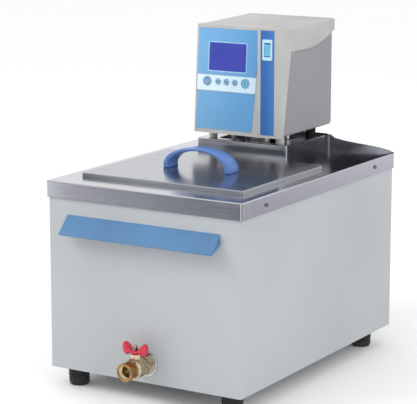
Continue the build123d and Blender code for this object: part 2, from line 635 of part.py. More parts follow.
def top_cover():
    """Moulded top of the head, wrapping down both sides and overhanging the back."""
    x0 = BEZEL_LEFT
    x1 = BEZEL_RIGHT
    steps = 8
    start = COVER_FRONT + 52
    curve = [start + (COVER_BACK - start) * i / steps for i in range(steps + 1)]
    edge = Spline([(0, y, cover_side(y)) for y in curve], tangents=((0, 1, 0), (0, 1, 0.62)))
    crest = HEAD_TOP + COVER_RISE
    outline = make_face([
        Line((0, COVER_FRONT, COVER_SIDE), (0, start, COVER_SIDE)), edge,
        Line((0, COVER_BACK, COVER_TAIL), (0, COVER_BACK, crest)),
        Line((0, COVER_BACK, crest), (0, COVER_FRONT, HEAD_TOP)),
        Line((0, COVER_FRONT, HEAD_TOP), (0, COVER_FRONT, COVER_SIDE)),
    ])
    outer = Pos(x0, 0, 0) * extrude(outline, x1 - x0, dir=(1, 0, 0))
    rims = outer.edges().filter_by(
        lambda e: e.center().Z > HEAD_TOP + 0.2 and e.center().Y > COVER_FRONT + 5)
    outer = fillet(rims, 3.5)
    inner = profile_x([(COVER_FRONT, COVER_SIDE - 1), (COVER_FRONT, HEAD_TOP - COVER_T),
                       (COVER_BACK - COVER_T, crest - COVER_T), (COVER_BACK - COVER_T, COVER_SIDE - 1)],
                      x0 + COVER_T, x1 - COVER_T)
    tail = block(x0, x1, HEAD_BACK + 0.05, COVER_BACK - COVER_T, COVER_TAIL - 25, COVER_TAIL)
    return outer - inner - tail


write("head_chassis", chassis())
write("head_rear_panel", head_rear_panel())
write("top_cover", top_cover())


# ---- head: front bezel and controls --------------------------------------------------------------
LEAN = atan2(BEZEL_LEAN, HEAD_TOP - BEZEL_BOTTOM)
RIB_ANGLE = atan2(RIB_TURN, BEZEL_RIGHT - RIB_X)
MAIN = Plane(origin=(0, BEZEL_Y, BEZEL_BOTTOM), x_dir=(1, 0, 0), z_dir=(0, -cos(LEAN), sin(LEAN)))
RIB = Plane(origin=(RIB_X, RIB_Y, BEZEL_BOTTOM), x_dir=(cos(RIB_ANGLE), sin(RIB_ANGLE), 0),
            z_dir=(sin(RIB_ANGLE), -cos(RIB_ANGLE), 0))
POCKET = 0.8
PANEL_PROUD = 0.3
LABEL_X0 = BEZEL_LEFT + 2.5
LOWER_U = (6.0, 63.5)
KEYS_U = (64.0, 88.0)
UPPER_U = (88.5, 158.0)
WINDOW = (-76.0, -12.5, 95.0, 136.5)
KEY_U = 78.5
KEYS = [(-78.5, 6.8), (-59.5, 4.4), (-45.0, 4.4), (-30.5, 4.4), (-12.5, 7.0)]
KEY_TRAVEL = 1.0
KEY_GAP = 0.35
STRIP = (5.0, 27.0, 4.0, 160.0)
ROCKER_FRAME = (8.5, 24.0, 116.0, 147.0)
ROCKER_S = (ROCKER_FRAME[0] + ROCKER_FRAME[1]) / 2
ROCKER_U = (ROCKER_FRAME[2] + ROCKER_FRAME[3]) / 2
ROCKER_TILT = 7.0
ROCKER_DEPTH = -3.5              # pivot below the rib's face
BOARD_W = -9.5                   # face of the control board behind the main panel


def label_right(u):
    """Right-hand edge of the printed panels: it leans with height."""
    return 2.0 + 8.0 * (u - LOWER_U[0]) / (UPPER_U[1] - LOWER_U[0])


def on_plane(plane, x0, x1, u0, u1, w0, w1):
    """Box in a panel's own frame: x across, u up the panel, w outwards."""
    return plane * block(x0, x1, u0, u1, w0, w1)


def panel_slab(u0, u1, w0, w1, margin=0.0):
    """Four-sided panel between two heights, with the slanting right-hand edge."""
    face = make_face(Polyline(
        (LABEL_X0 + margin, u0 + margin, 0), (label_right(u0) - margin, u0 + margin, 0),
        (label_right(u1) - margin, u1 - margin, 0), (LABEL_X0 + margin, u1 - margin, 0),
        close=True))
    slab = fillet((Pos(0, 0, w0) * extrude(face, w1 - w0)).edges().filter_by(Axis.Z), 1.2)
    return MAIN * slab


def pin_on(plane, x, u, w0, w1, radius):
    """Round pin standing out of a panel's face."""
    return plane * rod(x, u, w0, w1, radius)


def bezel():
    """Moulded front: leaning main panel, upright rib, wedge-shaped returns behind."""
    back = COVER_FRONT
    lean_top = BEZEL_Y + BEZEL_LEAN
    main = profile_x([(BEZEL_Y, BEZEL_BOTTOM), (lean_top, HEAD_TOP), (back, HEAD_TOP),
                      (back, COVER_SIDE), (RETURN_FOOT, BEZEL_BOTTOM)], BEZEL_LEFT, RIB_X + 1)
    rib_foot = make_face(Polyline(
        (RIB_X, RIB_Y, BEZEL_BOTTOM), (BEZEL_RIGHT, RIB_Y + RIB_TURN, BEZEL_BOTTOM),
        (BEZEL_RIGHT, back, BEZEL_BOTTOM), (RIB_X, back, BEZEL_BOTTOM), close=True))
    rib = extrude(rib_foot, HEAD_TOP - BEZEL_BOTTOM, dir=(0, 0, 1))
    behind = profile_x([(RETURN_FOOT, BEZEL_BOTTOM), (back, COVER_SIDE), (back + 9, COVER_SIDE),
                        (back + 9, BEZEL_BOTTOM)], RIB_X - 5, BEZEL_RIGHT + 5)
    outer = main + (rib - behind)
    corners = outer.edges().filter_by(Axis.Z).filter_by(lambda e: e.center().X > BEZEL_RIGHT - 1)
    outer = fillet(corners.sort_by(Axis.Y)[:1], 2.5)
    wall = WALL
    inside_y = BEZEL_Y + wall / cos(LEAN)
    hollow_main = profile_x([(inside_y, BEZEL_BOTTOM), (inside_y + BEZEL_LEAN, HEAD_TOP),
                             (back + 9, HEAD_TOP), (back + 9, BEZEL_BOTTOM)],
                            BEZEL_LEFT + 1.5, RIB_X - 0.5)
    hollow_main -= block(-200, 200, BEZEL_Y, back + 10, HEAD_TOP - wall, HEAD_TOP + 1)
    hollow_main -= block(-200, 200, BEZEL_Y, RETURN_FOOT, BEZEL_BOTTOM, HEAD_FLOOR)
    low = HEAD_FLOOR
    rib_inner = make_face(Polyline(
        (RIB_X - 1, RIB_Y + wall, low), (BEZEL_RIGHT - 1.5, RIB_Y + RIB_TURN + wall, low),
        (BEZEL_RIGHT - 1.5, back + 9, low), (RIB_X - 1, back + 9, low), close=True))
    hollow_rib = extrude(rib_inner, HEAD_TOP - wall - low, dir=(0, 0, 1))
    shell = outer - hollow_main - hollow_rib
    cheek = [(RIB_Y + 1, low), (inside_y, low), (inside_y + BEZEL_LEAN, HEAD_TOP - 1), (RIB_Y + 1, HEAD_TOP - 1)]
    shell += profile_x(cheek, RIB_X, RIB_X + CHEEK)
    for u0, u1 in (LOWER_U, KEYS_U, UPPER_U):
        shell -= panel_slab(u0, u1, -POCKET, 20)
    x0, x1, u0, u1 = WINDOW
    shell -= on_plane(MAIN, x0, x1, u0, u1, -10, 5)
    for x, radius in KEYS:
        shell -= pin_on(MAIN, x, KEY_U, -10, 5, radius + KEY_GAP)
    s0, s1, u0, u1 = STRIP
    shell -= on_plane(RIB, s0, s1, u0, u1, -POCKET, 20)
    s0, s1, u0, u1 = ROCKER_FRAME
    return shell - on_plane(RIB, s0 + 1, s1 - 1, u0 + 1, u1 - 1, -20, 5)


def upper_panel():
    x0, x1, u0, u1 = WINDOW
    slab = panel_slab(*UPPER_U, -POCKET, PANEL_PROUD, 0.15)
    return slab - on_plane(MAIN, x0, x1, u0, u1, -5, 5)


def key_panel():
    slab = panel_slab(*KEYS_U, -POCKET, PANEL_PROUD, 0.15)
    for x, radius in KEYS:
        slab -= pin_on(MAIN, x, KEY_U, -5, 5, radius + KEY_GAP)
    return slab


def display_window():
    """Clear window with a lip behind the bezel."""
    x0, x1, u0, u1 = WINDOW
    pane = on_plane(MAIN, x0 + 0.2, x1 - 0.2, u0 + 0.2, u1 - 0.2, -WALL, PANEL_PROUD)
    return pane + on_plane(MAIN, x0 - 3, x1 + 3, u0 - 3, u1 + 3, -WALL - 1.5, -WALL)


def key(x, radius):
    """Round push key: domed cap in front, retaining collar and plunger behind."""
    cap = rod(x, KEY_U, -WALL - 0.5, 1.8, radius)
    cap = fillet(cap.edges().filter_by(GeomType.CIRCLE).sort_by(Axis.Z)[-1:], 0.7)
    collar = rod(x, KEY_U, -WALL - 1.6, -WALL - 0.4, radius + 1.1)
    plunger = rod(x, KEY_U, BOARD_W + KEY_TRAVEL + 0.5, -WALL - 1.6, 1.6)
    return MAIN * (cap + collar + plunger)


def control_board():
    """Circuit board behind the main panel, with the display block standing on it."""
    x0, x1, u0, u1 = WINDOW
    board = on_plane(MAIN, BEZEL_LEFT + 8, RIB_X - 8, 20, 148, BOARD_W - 1.6, BOARD_W)
    board += on_plane(MAIN, x0 - 2, x1 + 2, u0 - 2, u1 + 2, BOARD_W, -WALL - 1.5)
    for x, u in ((-60, 35), (-30, 35), (-45, 52), (-75, 50)):
        board += on_plane(MAIN, x - 6, x + 6, u - 4, u + 4, BOARD_W - 4.6, BOARD_W - 1.6)
    return board


def side_strip():
    s0, s1, u0, u1 = STRIP
    slab = block(s0 + 0.15, s1 - 0.15, u0 + 0.15, u1 - 0.15, -POCKET, PANEL_PROUD)
    slab = fillet(slab.edges().filter_by(Axis.Z), 1.5)
    s0, s1, u0, u1 = ROCKER_FRAME
    return RIB * slab - on_plane(RIB, s0 + 1, s1 - 1, u0 + 1, u1 - 1, -5, 5)


ROCKER_W = 9.6
ROCKER_L = 18.0
ROCKER_ROOM = 1.4


def rocker_frame():
    """Switch body: flange on the strip and a box behind it."""
    s0, s1, u0, u1 = ROCKER_FRAME
    flange = block(s0, s1, u0, u1, PANEL_PROUD, PANEL_PROUD + 1.6)
    flange = fillet(flange.edges().filter_by(Axis.Z), 2.0)
    frame = RIB * flange + on_plane(RIB, s0 + 1.1, s1 - 1.1, u0 + 1.1, u1 - 1.1, -16, PANEL_PROUD)
    half_w = ROCKER_W / 2 + 0.4
    half_l = ROCKER_L / 2 + ROCKER_ROOM
    frame -= on_plane(RIB, ROCKER_S - half_w, ROCKER_S + half_w,
                      ROCKER_U - half_l, ROCKER_U + half_l, -13, 5)
    bore = Pos(ROCKER_S, ROCKER_U, ROCKER_DEPTH) * Rot(0, 90, 0) * Cylinder(1.0 + RUN_GAP, ROCKER_W + 3)
    return frame - RIB * bore


def power_rocker():
    """Rocker with a shallow V face, resting with its lower end pressed in."""
    half = ROCKER_L / 2
    face = make_face(Polyline(
        (0, half, 4.6), (0, half - 0.8, 5.4), (0, 0, 4.2), (0, -half + 0.8, 5.4), (0, -half, 4.6),
        (0, -half + 2, -2.5), (0, 0, -5.0), (0, half - 2, -2.5), close=True))
    body = extrude(face, ROCKER_W / 2, both=True, dir=(1, 0, 0))
    pin = Rot(0, 90, 0) * Cylinder(1.0, ROCKER_W + 2.4)
    return RIB * (Pos(ROCKER_S, ROCKER_U, ROCKER_DEPTH) * Rot(ROCKER_TILT, 0, 0) * (body + pin))


write("front_bezel", bezel())
write("upper_panel", upper_panel())
write("key_panel", key_panel())
write("lower_panel", panel_slab(*LOWER_U, -POCKET, PANEL_PROUD, 0.15))
write("display_window", display_window())
write("control_board", control_board())
for number, (key_x, key_radius) in enumerate(KEYS, start=1):
    write(f"key_{number}", key(key_x, key_radius))
write("side_strip", side_strip())
write("rocker_frame", rocker_frame())
write("power_rocker", power_rocker())


# ---- head: pump, heater, sensors, fan and rear fittings -------------------------------------------
MOTOR_R = 30.0
MOTOR_TOP = 402.0
BEARING_R = 11.0
BEARING_H = 7.0
BEARING_Z = [FLOOR_TOP, MOTOR_TOP - BEARING_H]
PUMP_R = 25.0
PUMP_Z = (120.0, 152.0)
IMPELLER_Z = (127.0, 143.0)
HEATER_Z = 126.0


def motor_housing():
    """Motor can with bearing seats at both ends and cooling ribs."""
    can = rod(SHAFT_X, SHAFT_Y, FLOOR_TOP, MOTOR_TOP, MOTOR_R)
    can = fillet(can.edges().filter_by(GeomType.CIRCLE).sort_by(Axis.Z)[-1:], 3)
    can -= rod(SHAFT_X, SHAFT_Y, FLOOR_TOP + BEARING_H, MOTOR_TOP - BEARING_H, MOTOR_R - 4)
    can -= rod(SHAFT_X, SHAFT_Y, FLOOR_TOP - 1, MOTOR_TOP + 1, BEARING_R)
    for z in (352.0, 362.0, 372.0, 382.0):
        ring = rod(SHAFT_X, SHAFT_Y, z, z + 4, MOTOR_R + 1)
        can -= ring - rod(SHAFT_X, SHAFT_Y, z - 1, z + 5, MOTOR_R - 1.2)
    return can


def bearing(z):
    ring = rod(SHAFT_X, SHAFT_Y, z, z + BEARING_H, BEARING_R)
    return ring - rod(SHAFT_X, SHAFT_Y, z - 1, z + BEARING_H + 1, SHAFT_R + RUN_GAP)


def pump_shaft():
    """Long shaft with the motor's rotor core on its upper end."""
    shaft = rod(SHAFT_X, SHAFT_Y, IMPELLER_Z[0] - 2, MOTOR_TOP + 3, SHAFT_R)
    return shaft + rod(SHAFT_X, SHAFT_Y, 350.0, 386.0, 19.0)


def impeller():
    """Hub with six straight vanes on a disc."""
    low, high = IMPELLER_Z
    wheel = rod(SHAFT_X, SHAFT_Y, high - 3, high, 18.0) + rod(SHAFT_X, SHAFT_Y, low, high, 7.0)
    for step in range(6):
        vane = Pos(12.0, 0, (low + high - 3) / 2) * Box(11.0, 1.6, high - 3 - low)
        wheel += Pos(SHAFT_X, SHAFT_Y, 0) * Rot(0, 0, 60 * step) * vane
    return wheel - rod(SHAFT_X, SHAFT_Y, low - 1, high + 1, SHAFT_R)


def pump_column():
    """Tube from the head's floor down to the pump, with drain windows."""
    tube = rod(SHAFT_X, SHAFT_Y, PUMP_Z[1], HEAD_FLOOR, COLUMN_R)
    tube -= rod(SHAFT_X, SHAFT_Y, PUMP_Z[1] - 1, HEAD_FLOOR + 1, COLUMN_R - 2)
    tube += rod(SHAFT_X, SHAFT_Y, HEAD_FLOOR - 3, HEAD_FLOOR, COLUMN_R + 6) - rod(
        SHAFT_X, SHAFT_Y, HEAD_FLOOR - 4, HEAD_FLOOR + 1, COLUMN_R - 1)
    for z in (180.0, 230.0):
        tube -= rod_x(SHAFT_Y, z, SHAFT_X - 20, SHAFT_X + 20, 4)
    return tube


def pump_housing():
    """Round pump case, open below, with a pressure outlet on its rim."""
    low, high = PUMP_Z
    case = rod(SHAFT_X, SHAFT_Y, low, high, PUMP_R)
    case -= rod(SHAFT_X, SHAFT_Y, low + 3, high - 3, PUMP_R - 3)
    case -= rod(SHAFT_X, SHAFT_Y, low - 1, low + 4, 9)
    case -= rod(SHAFT_X, SHAFT_Y, high - 4, high + 1, 6)
    run_x = PORTS[0][0] - SHAFT_X
    run_y = PIPE_TURN_Y - SHAFT_Y
    reach = (run_x ** 2 + run_y ** 2) ** 0.5
    turn = Pos(SHAFT_X, SHAFT_Y, 0) * Rot(0, 0, degrees(atan2(run_y, run_x)))
    case += turn * (block(PUMP_R - 2.5, reach, -8, 8, high - 16, high) + rod(reach, 0, high - 16, high, 8))
    channel = rod_x(0, high - 8, PUMP_R - 5, reach, 4.5) + rod(reach, 0, high - 12.5, high + 1, PIPE_R)
    return case - turn * channel


def port_pipe(x, z, low):
    """Tube up out of the tank and back to a pump port."""
    path = FilletPolyline((x, PIPE_TURN_Y, low), (x, PIPE_TURN_Y, z), (x, HEAD_BACK - 12, z), radius=12)
    ring = Plane(origin=path @ 0, z_dir=path % 0) * (Circle(PIPE_R) - Circle(PIPE_R - 1))
    return sweep(ring, path)


def hose_port(x, z):
    """Nickel-plated stub for a hose, with a hexagon against the panel."""
    tip = BACK + REAR_REACH
    stub = rod_y(x, z, HEAD_BACK - 12, tip, 5.0) + hex_y(x, z, HEAD_BACK, HEAD_BACK + 7, 17.0)
    stub += rod_y(x, z, HEAD_BACK - 10, HEAD_BACK, 7.5)
    stub = chamfer(stub.edges().filter_by(GeomType.CIRCLE).sort_by(Axis.Y)[-1:], 0.8)
    return stub - rod_y(x, z, HEAD_BACK - 13, tip + 1, 3.5)


def heater():
    """Sheathed heating tube: two legs down and one loop along the tank's floor."""
    (ax, ay), (bx, by) = HEATER_LEGS
    far_x = TANK_W / 2 - 28
    path = FilletPolyline((ax, ay, 346), (ax, ay, HEATER_Z), (far_x, ay, HEATER_Z),
                          (far_x, by, HEATER_Z), (bx, by, HEATER_Z), (bx, by, 346), radius=12)
    return sweep(Plane(origin=path @ 0, z_dir=path % 0) * Circle(HEATER_R), path)


def probe():
    """Temperature probe: thin steel rod with a collar on the floor plate."""
    x, y = PROBE
    return rod(x, y, 150, 346, 2.2) + rod(x, y, FLOOR_TOP, FLOOR_TOP + 5, 5)


FLOAT_LOW = 232.0
FLOAT_H = 16.0
FLOAT_TRAVEL = 12.0


def float_stem():
    """Level-switch stem with a stop ring below the float and one above."""
    x, y = FLOAT_AT
    stem = rod(x, y, FLOAT_LOW - 8, 346, 3.2) + rod(x, y, FLOOR_TOP, FLOOR_TOP + 5, 6)
    stem += rod(x, y, FLOAT_LOW - 4.3, FLOAT_LOW - 0.3, 5.5)
    high = FLOAT_LOW + FLOAT_H + FLOAT_TRAVEL + 0.3
    return stem + rod(x, y, high, high + 4, 5.5)


def level_float():
    x, y = FLOAT_AT
    ring = rod(x, y, FLOAT_LOW, FLOAT_LOW + FLOAT_H, 10)
    ring = fillet(ring.edges().filter_by(GeomType.CIRCLE), 2)
    return ring - rod(x, y, FLOAT_LOW - 1, FLOAT_LOW + FLOAT_H + 1, 3.6)


FAN_Y = HEAD_BACK - COVER_T - 13.0


def fan_frame():
    """Square fan housing with a hub held by four arms."""
    half = FAN_SIZE / 2
    y1 = HEAD_BACK - COVER_T
    frame = block(FAN_X - half, FAN_X + half, FAN_Y, y1, FAN_Z - half, FAN_Z + half)
    frame = fillet(frame.edges().filter_by(Axis.Y), 4)
    frame -= rod_y(FAN_X, FAN_Z, FAN_Y - 1, y1 + 1, 28)
    arm = block(FAN_X - 29, FAN_X + 29, FAN_Y, FAN_Y + 2, FAN_Z - 1.5, FAN_Z + 1.5)
    upright_arm = block(FAN_X - 1.5, FAN_X + 1.5, FAN_Y, FAN_Y + 2, FAN_Z - 29, FAN_Z + 29)
    frame += arm + upright_arm + rod_y(FAN_X, FAN_Z, FAN_Y, FAN_Y + 2, 11)
    return frame + rod_y(FAN_X, FAN_Z, FAN_Y + 2, FAN_Y + 7, 1.5)


def fan_rotor():
    """Fan hub with seven pitched blades, on the frame's pin."""
    low = FAN_Y + 2.4
    hub = rod_y(FAN_X, FAN_Z, low, low + 9, 10)
    hub = fillet(hub.edges().filter_by(GeomType.CIRCLE).sort_by(Axis.Y)[-1:], 1.5)
    for step in range(7):
        blade = Pos(17.5, 0, 0) * Rot(38, 0, 0) * Box(18.0, 1.2, 9.0)
        hub += Pos(FAN_X, low + 4.5, FAN_Z) * Rot(0, 360 / 7 * step, 0) * blade
    return hub - rod_y(FAN_X, FAN_Z, low - 1, low + 5.5, 1.5 + RUN_GAP)


def power_inlet():
    """Three-pin mains inlet with a screw-ear flange."""
    flange = block(INLET_X - 25, INLET_X + 25, HEAD_BACK, HEAD_BACK + 2, INLET_Z - 12, INLET_Z + 12)
    flange = fillet(flange.edges().filter_by(Axis.Y), 5)
    body = block(INLET_X - 13.5, INLET_X + 13.5, HEAD_BACK - 22, HEAD_BACK, INLET_Z - 10, INLET_Z + 10)
    well = block(INLET_X - 12, INLET_X + 12, HEAD_BACK - 16, HEAD_BACK + 3, INLET_Z - 8.2, INLET_Z + 8.2)
    well = chamfer(well.edges().filter_by(Axis.Y).group_by(Axis.Z)[-1], 4)
    shape = flange + body - well
    for x, z in ((-7, -2), (0, 2), (7, -2)):
        shape += block(INLET_X + x - 1, INLET_X + x + 1, HEAD_BACK - 17, HEAD_BACK - 3,
                       INLET_Z + z - 2, INLET_Z + z + 2)
    return shape


def power_board():
    """Power board on the chassis side wall, with a transformer."""
    x1 = HX1 - CHASSIS_T
    board = block(x1 - 7, x1 - 5.4, FRONT + 338, FRONT + 430, 350, 400)
    for y in (FRONT + 344, FRONT + 424):
        for z in (356, 394):
            board += rod_x(y, z, x1 - 5.4, x1, 3)
    return board + block(x1 - 31, x1 - 7, FRONT + 352, FRONT + 384, 358, 394)


def panel_screws():
    """The like screws that hold the deck's skirt, both rear panels and both grips."""
    places = [(x, CASE_BACK, z, "+Y") for x, z in REAR_SCREWS]
    places += [(x, HEAD_BACK, z, "+Y") for x, z in HEAD_SCREWS]
    places += [(x, CASE_FRONT - GRIP_WALL, GRIP_SCREW_Z, "-Y") for x in GRIP_SCREW_X]
    places += [(x, CASE_BACK + GRIP_WALL, GRIP_SCREW_Z, "+Y") for x in GRIP_SCREW_X]
    places += [(side * DECK_W / 2, y, DECK_SCREW_Z, "+X" if side > 0 else "-X")
               for side, y in DECK_SCREWS]
    return group([Pos(x, y, z) * facing(way) * pan_screw(*PANEL_SCREW) for x, y, z, way in places])


write("motor_housing", motor_housing())
write("shaft_bearings", group([bearing(z) for z in BEARING_Z]))
write("pump_shaft", pump_shaft())
write("impeller", impeller())
write("pump_column", pump_column())
write("pump_housing", pump_housing())
write("circulation_pipes", group([port_pipe(*PORTS[0], PUMP_Z[1] - 4), port_pipe(*PORTS[1], 200.0)]))
write("hose_ports", group([hose_port(x, z) for x, z in PORTS]))
write("heater_tube", heater())
write("temperature_probe", probe())
write("float_stem", float_stem())
write("level_float", level_float())
write("fan_frame", fan_frame())
write("fan_rotor", fan_rotor())
write("power_inlet", power_inlet())
write("power_board", power_board())
write("panel_screws", panel_screws())
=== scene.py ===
import json
import math

import bmesh
import bpy
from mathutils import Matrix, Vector


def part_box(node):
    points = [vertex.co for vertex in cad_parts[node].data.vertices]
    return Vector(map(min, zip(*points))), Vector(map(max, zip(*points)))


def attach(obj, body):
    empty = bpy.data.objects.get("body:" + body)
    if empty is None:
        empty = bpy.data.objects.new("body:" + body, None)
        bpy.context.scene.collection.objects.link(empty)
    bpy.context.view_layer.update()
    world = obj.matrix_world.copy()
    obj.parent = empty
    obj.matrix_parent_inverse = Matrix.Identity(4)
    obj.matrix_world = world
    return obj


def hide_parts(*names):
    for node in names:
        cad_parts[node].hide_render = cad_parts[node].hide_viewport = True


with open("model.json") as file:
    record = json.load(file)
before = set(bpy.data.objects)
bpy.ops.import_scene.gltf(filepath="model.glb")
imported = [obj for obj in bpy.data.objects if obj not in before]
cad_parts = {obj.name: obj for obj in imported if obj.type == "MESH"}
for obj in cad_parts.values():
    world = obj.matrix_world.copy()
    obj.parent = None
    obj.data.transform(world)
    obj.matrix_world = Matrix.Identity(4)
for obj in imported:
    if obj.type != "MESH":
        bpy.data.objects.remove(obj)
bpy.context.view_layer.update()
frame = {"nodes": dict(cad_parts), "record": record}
NODES = frame["nodes"]
SLOT_OF = {s["node"]: s["material_slot"] for s in frame["record"]["subparts"]}
JOINTS = {j["name"]: j for j in frame["record"]["behaviour"]["joints"]}
MM = 0.001
MICRON = 0.000001
SRGB_KNEE = 0.04045
SURFACE_IOR = 1.5
MID = (0.3, 0.7)            # the band of a noise's values that is spread over a finish


# ---- colour and node helpers ------------------------------------------------------------------
def lin(colour):
    """sRGB 0-255 to linear RGBA."""
    out = []
    for c in colour:
        c /= 255.0
        out.append(c / 12.92 if c <= SRGB_KNEE else ((c + 0.055) / 1.055) ** 2.4)
    return (*out, 1.0)


class Finish:
    """A procedural material under construction: a Principled shader and the nodes that vary it."""

    def __init__(self, name, metallic=0.0, coat=0.0, coat_rough=0.1, specular=0.5):
        self.mat = bpy.data.materials.new(name)
        self.mat.use_nodes = True
        self.tree = self.mat.node_tree
        self.shader = self.tree.nodes["Principled BSDF"]
        self.shader.inputs["Metallic"].default_value = metallic
        self.shader.inputs["Coat Weight"].default_value = coat
        self.shader.inputs["Coat Roughness"].default_value = coat_rough
        self.shader.inputs["Specular IOR Level"].default_value = specular
        self.shader.inputs["IOR"].default_value = SURFACE_IOR
        self.coords = self.add("ShaderNodeTexCoord").outputs["Object"]
        self.height = None

    def add(self, kind):
        return self.tree.nodes.new(kind)

    def link(self, a, b):
        self.tree.links.new(a, b)

    def place(self, scale=(1, 1, 1), turn=(0, 0, 0), at=(0, 0, 0)):
        """Object coordinates, scaled after a move and a turn."""
        node = self.add("ShaderNodeMapping")
        node.vector_type = "POINT"
        node.inputs["Location"].default_value = at
        node.inputs["Rotation"].default_value = turn
        node.inputs["Scale"].default_value = scale
        self.link(self.coords, node.inputs["Vector"])
        return node.outputs["Vector"]

    def noise(self, scale, stretch=(1, 1, 1), detail=3.0, rough=0.5, shift=0.0):
        node = self.add("ShaderNodeTexNoise")
        node.inputs["Scale"].default_value = scale
        node.inputs["Detail"].default_value = detail
        node.inputs["Roughness"].default_value = rough
        self.link(self.place(stretch, at=(shift, shift, shift)), node.inputs["Vector"])
        return node.outputs["Fac"]

    def cells(self, scale, feature="F1", stretch=(1, 1, 1)):
        node = self.add("ShaderNodeTexVoronoi")
        node.feature = feature
        node.inputs["Scale"].default_value = scale
        self.link(self.place(stretch), node.inputs["Vector"])
        return node.outputs["Distance"]

    def spread(self, value, low, high, to_low=0.0, to_high=1.0, smooth=False):
        node = self.add("ShaderNodeMapRange")
        node.interpolation_type = "SMOOTHSTEP" if smooth else "LINEAR"
        for key, x in (("From Min", low), ("From Max", high), ("To Min", to_low), ("To Max", to_high)):
            node.inputs[key].default_value = x
        self.link(value, node.inputs["Value"])
        return node.outputs["Result"]

    def math(self, operation, a, b):
        node = self.add("ShaderNodeMath")
        node.operation = operation
        for socket, x in zip(node.inputs, (a, b)):
            if isinstance(x, (int, float)):
                socket.default_value = x
            else:
                self.link(x, socket)
        return node.outputs[0]

    def mix(self, factor, a, b):
        """Colour mix; a and b are colours or sockets."""
        node = self.add("ShaderNodeMix")
        node.data_type = "RGBA"
        self.link(factor, node.inputs["Factor"])
        for socket, x in ((node.inputs[6], a), (node.inputs[7], b)):
            if isinstance(x, tuple):
                socket.default_value = x
            else:
                self.link(x, socket)
        return node.outputs[2]

    def axis(self, name):
        node = self.add("ShaderNodeSeparateXYZ")
        self.link(self.coords, node.inputs[0])
        return node.outputs[name]

    def colour(self, socket):
        self.link(socket, self.shader.inputs["Base Color"])

    def rough(self, socket):
        self.link(socket, self.shader.inputs["Roughness"])

    def bump(self, height, strength, depth):
        """Adds one more layer of relief; depth in micrometres."""
        node = self.add("ShaderNodeBump")
        node.inputs["Strength"].default_value = strength
        node.inputs["Distance"].default_value = depth * MICRON
        self.link(height, node.inputs["Height"])
        if self.height is not None:
            self.link(self.height, node.inputs["Normal"])
        self.height = node.outputs["Normal"]
        self.link(self.height, self.shader.inputs["Normal"])


def shade(colour, factor):
    """The same sRGB colour, lighter or darker."""
    return tuple(min(255.0, c * factor) for c in colour)


# ---- finishes ----------------------------------------------------------------------------------
def powder_coat(name, colour, rough=(0.42, 0.55), specks=0.06):
    """Satin powder coat: orange-peel relief, faint mottling and fine dark specks."""
    f = Finish(name, coat=0.12, coat_rough=0.35)
    cloud = f.noise(5.0, detail=4.0)
    peel = f.noise(520.0, detail=2.0)
    fine = f.cells(1500.0)
    tone = f.mix(f.spread(cloud, *MID), lin(shade(colour, 0.975)), lin(shade(colour, 1.02)))
    dust = f.spread(fine, 0.0, 0.25, specks, 0.0)
    f.colour(f.mix(dust, tone, lin(shade(colour, 0.85))))
    f.rough(f.spread(f.noise(60.0, detail=5.0), *MID, *rough))
    f.bump(peel, 0.35, 120)
    f.bump(fine, 0.12, 40)
    return f.mat


def sheet_steel(name, colour, rough=(0.10, 0.20), grain=(14.0, 900.0, 900.0), wave=0.10, smear=0.06):
    """Stainless sheet: fine rolling lines, faint waviness, smears and hairline scratches."""
    f = Finish(name, metallic=1.0)
    lines = f.noise(1.0, stretch=grain, detail=3.0, rough=0.7)
    broad = f.noise(9.0, detail=2.0)
    wipe = f.noise(16.0, stretch=(1.0, 2.6, 1.0), detail=6.0, rough=0.65, shift=3.1)
    tone = f.mix(f.spread(lines, *MID), lin(shade(colour, 0.95)), lin(shade(colour, 1.03)))
    f.colour(f.mix(f.spread(wipe, 0.52, 0.75, 0.0, smear), tone, lin(shade(colour, 0.8))))
    base = f.spread(lines, 0.25, 0.75, *rough)
    f.rough(f.math("ADD", base, f.spread(wipe, 0.5, 0.75, 0.0, 0.07)))
    f.bump(lines, 0.18, 30)
    f.bump(broad, wave, 1600)
    scratch = f.cells(38.0, "DISTANCE_TO_EDGE", stretch=(0.25, 1.6, 1.0))
    f.bump(f.spread(scratch, 0.0, 0.006), 0.05, 30)
    return f.mat


def moulded(name, colour, rough=(0.36, 0.50), grain=900.0, relief=0.25, coat=0.0, tone=0.04):
    """Moulded plastic: fine spark-eroded grain with slight flow mottling."""
    f = Finish(name, coat=coat, coat_rough=0.22)
    flow = f.noise(12.0, detail=3.0)
    fine = f.noise(grain, detail=2.0, rough=0.6)
    base = f.mix(f.spread(flow, *MID), lin(shade(colour, 1 - tone)), lin(shade(colour, 1 + tone)))
    f.colour(f.mix(f.spread(fine, 0.55, 0.8, 0.0, 0.10), base, lin(shade(colour, 0.9))))
    f.rough(f.spread(f.noise(45.0, detail=5.0), *MID, *rough))
    f.bump(fine, relief, 80)
    return f.mat


def printed_film(name, left, right, span, rough=(0.30, 0.42)):
    """Polyester film with a printed sideways fade and a fine velvet stipple."""
    f = Finish(name, coat=0.25, coat_rough=0.28)
    fade = f.spread(f.axis("X"), *span, smooth=True)
    cloud = f.noise(30.0, detail=4.0)
    tone = f.mix(fade, lin(left), lin(right))
    f.colour(f.mix(f.spread(cloud, 0.45, 0.8, 0.0, 0.10), tone, lin(shade(right, 0.92))))
    stipple = f.cells(2400.0)
    f.rough(f.spread(f.noise(90.0, detail=4.0), *MID, *rough))
    f.bump(stipple, 0.12, 30)
    return f.mat


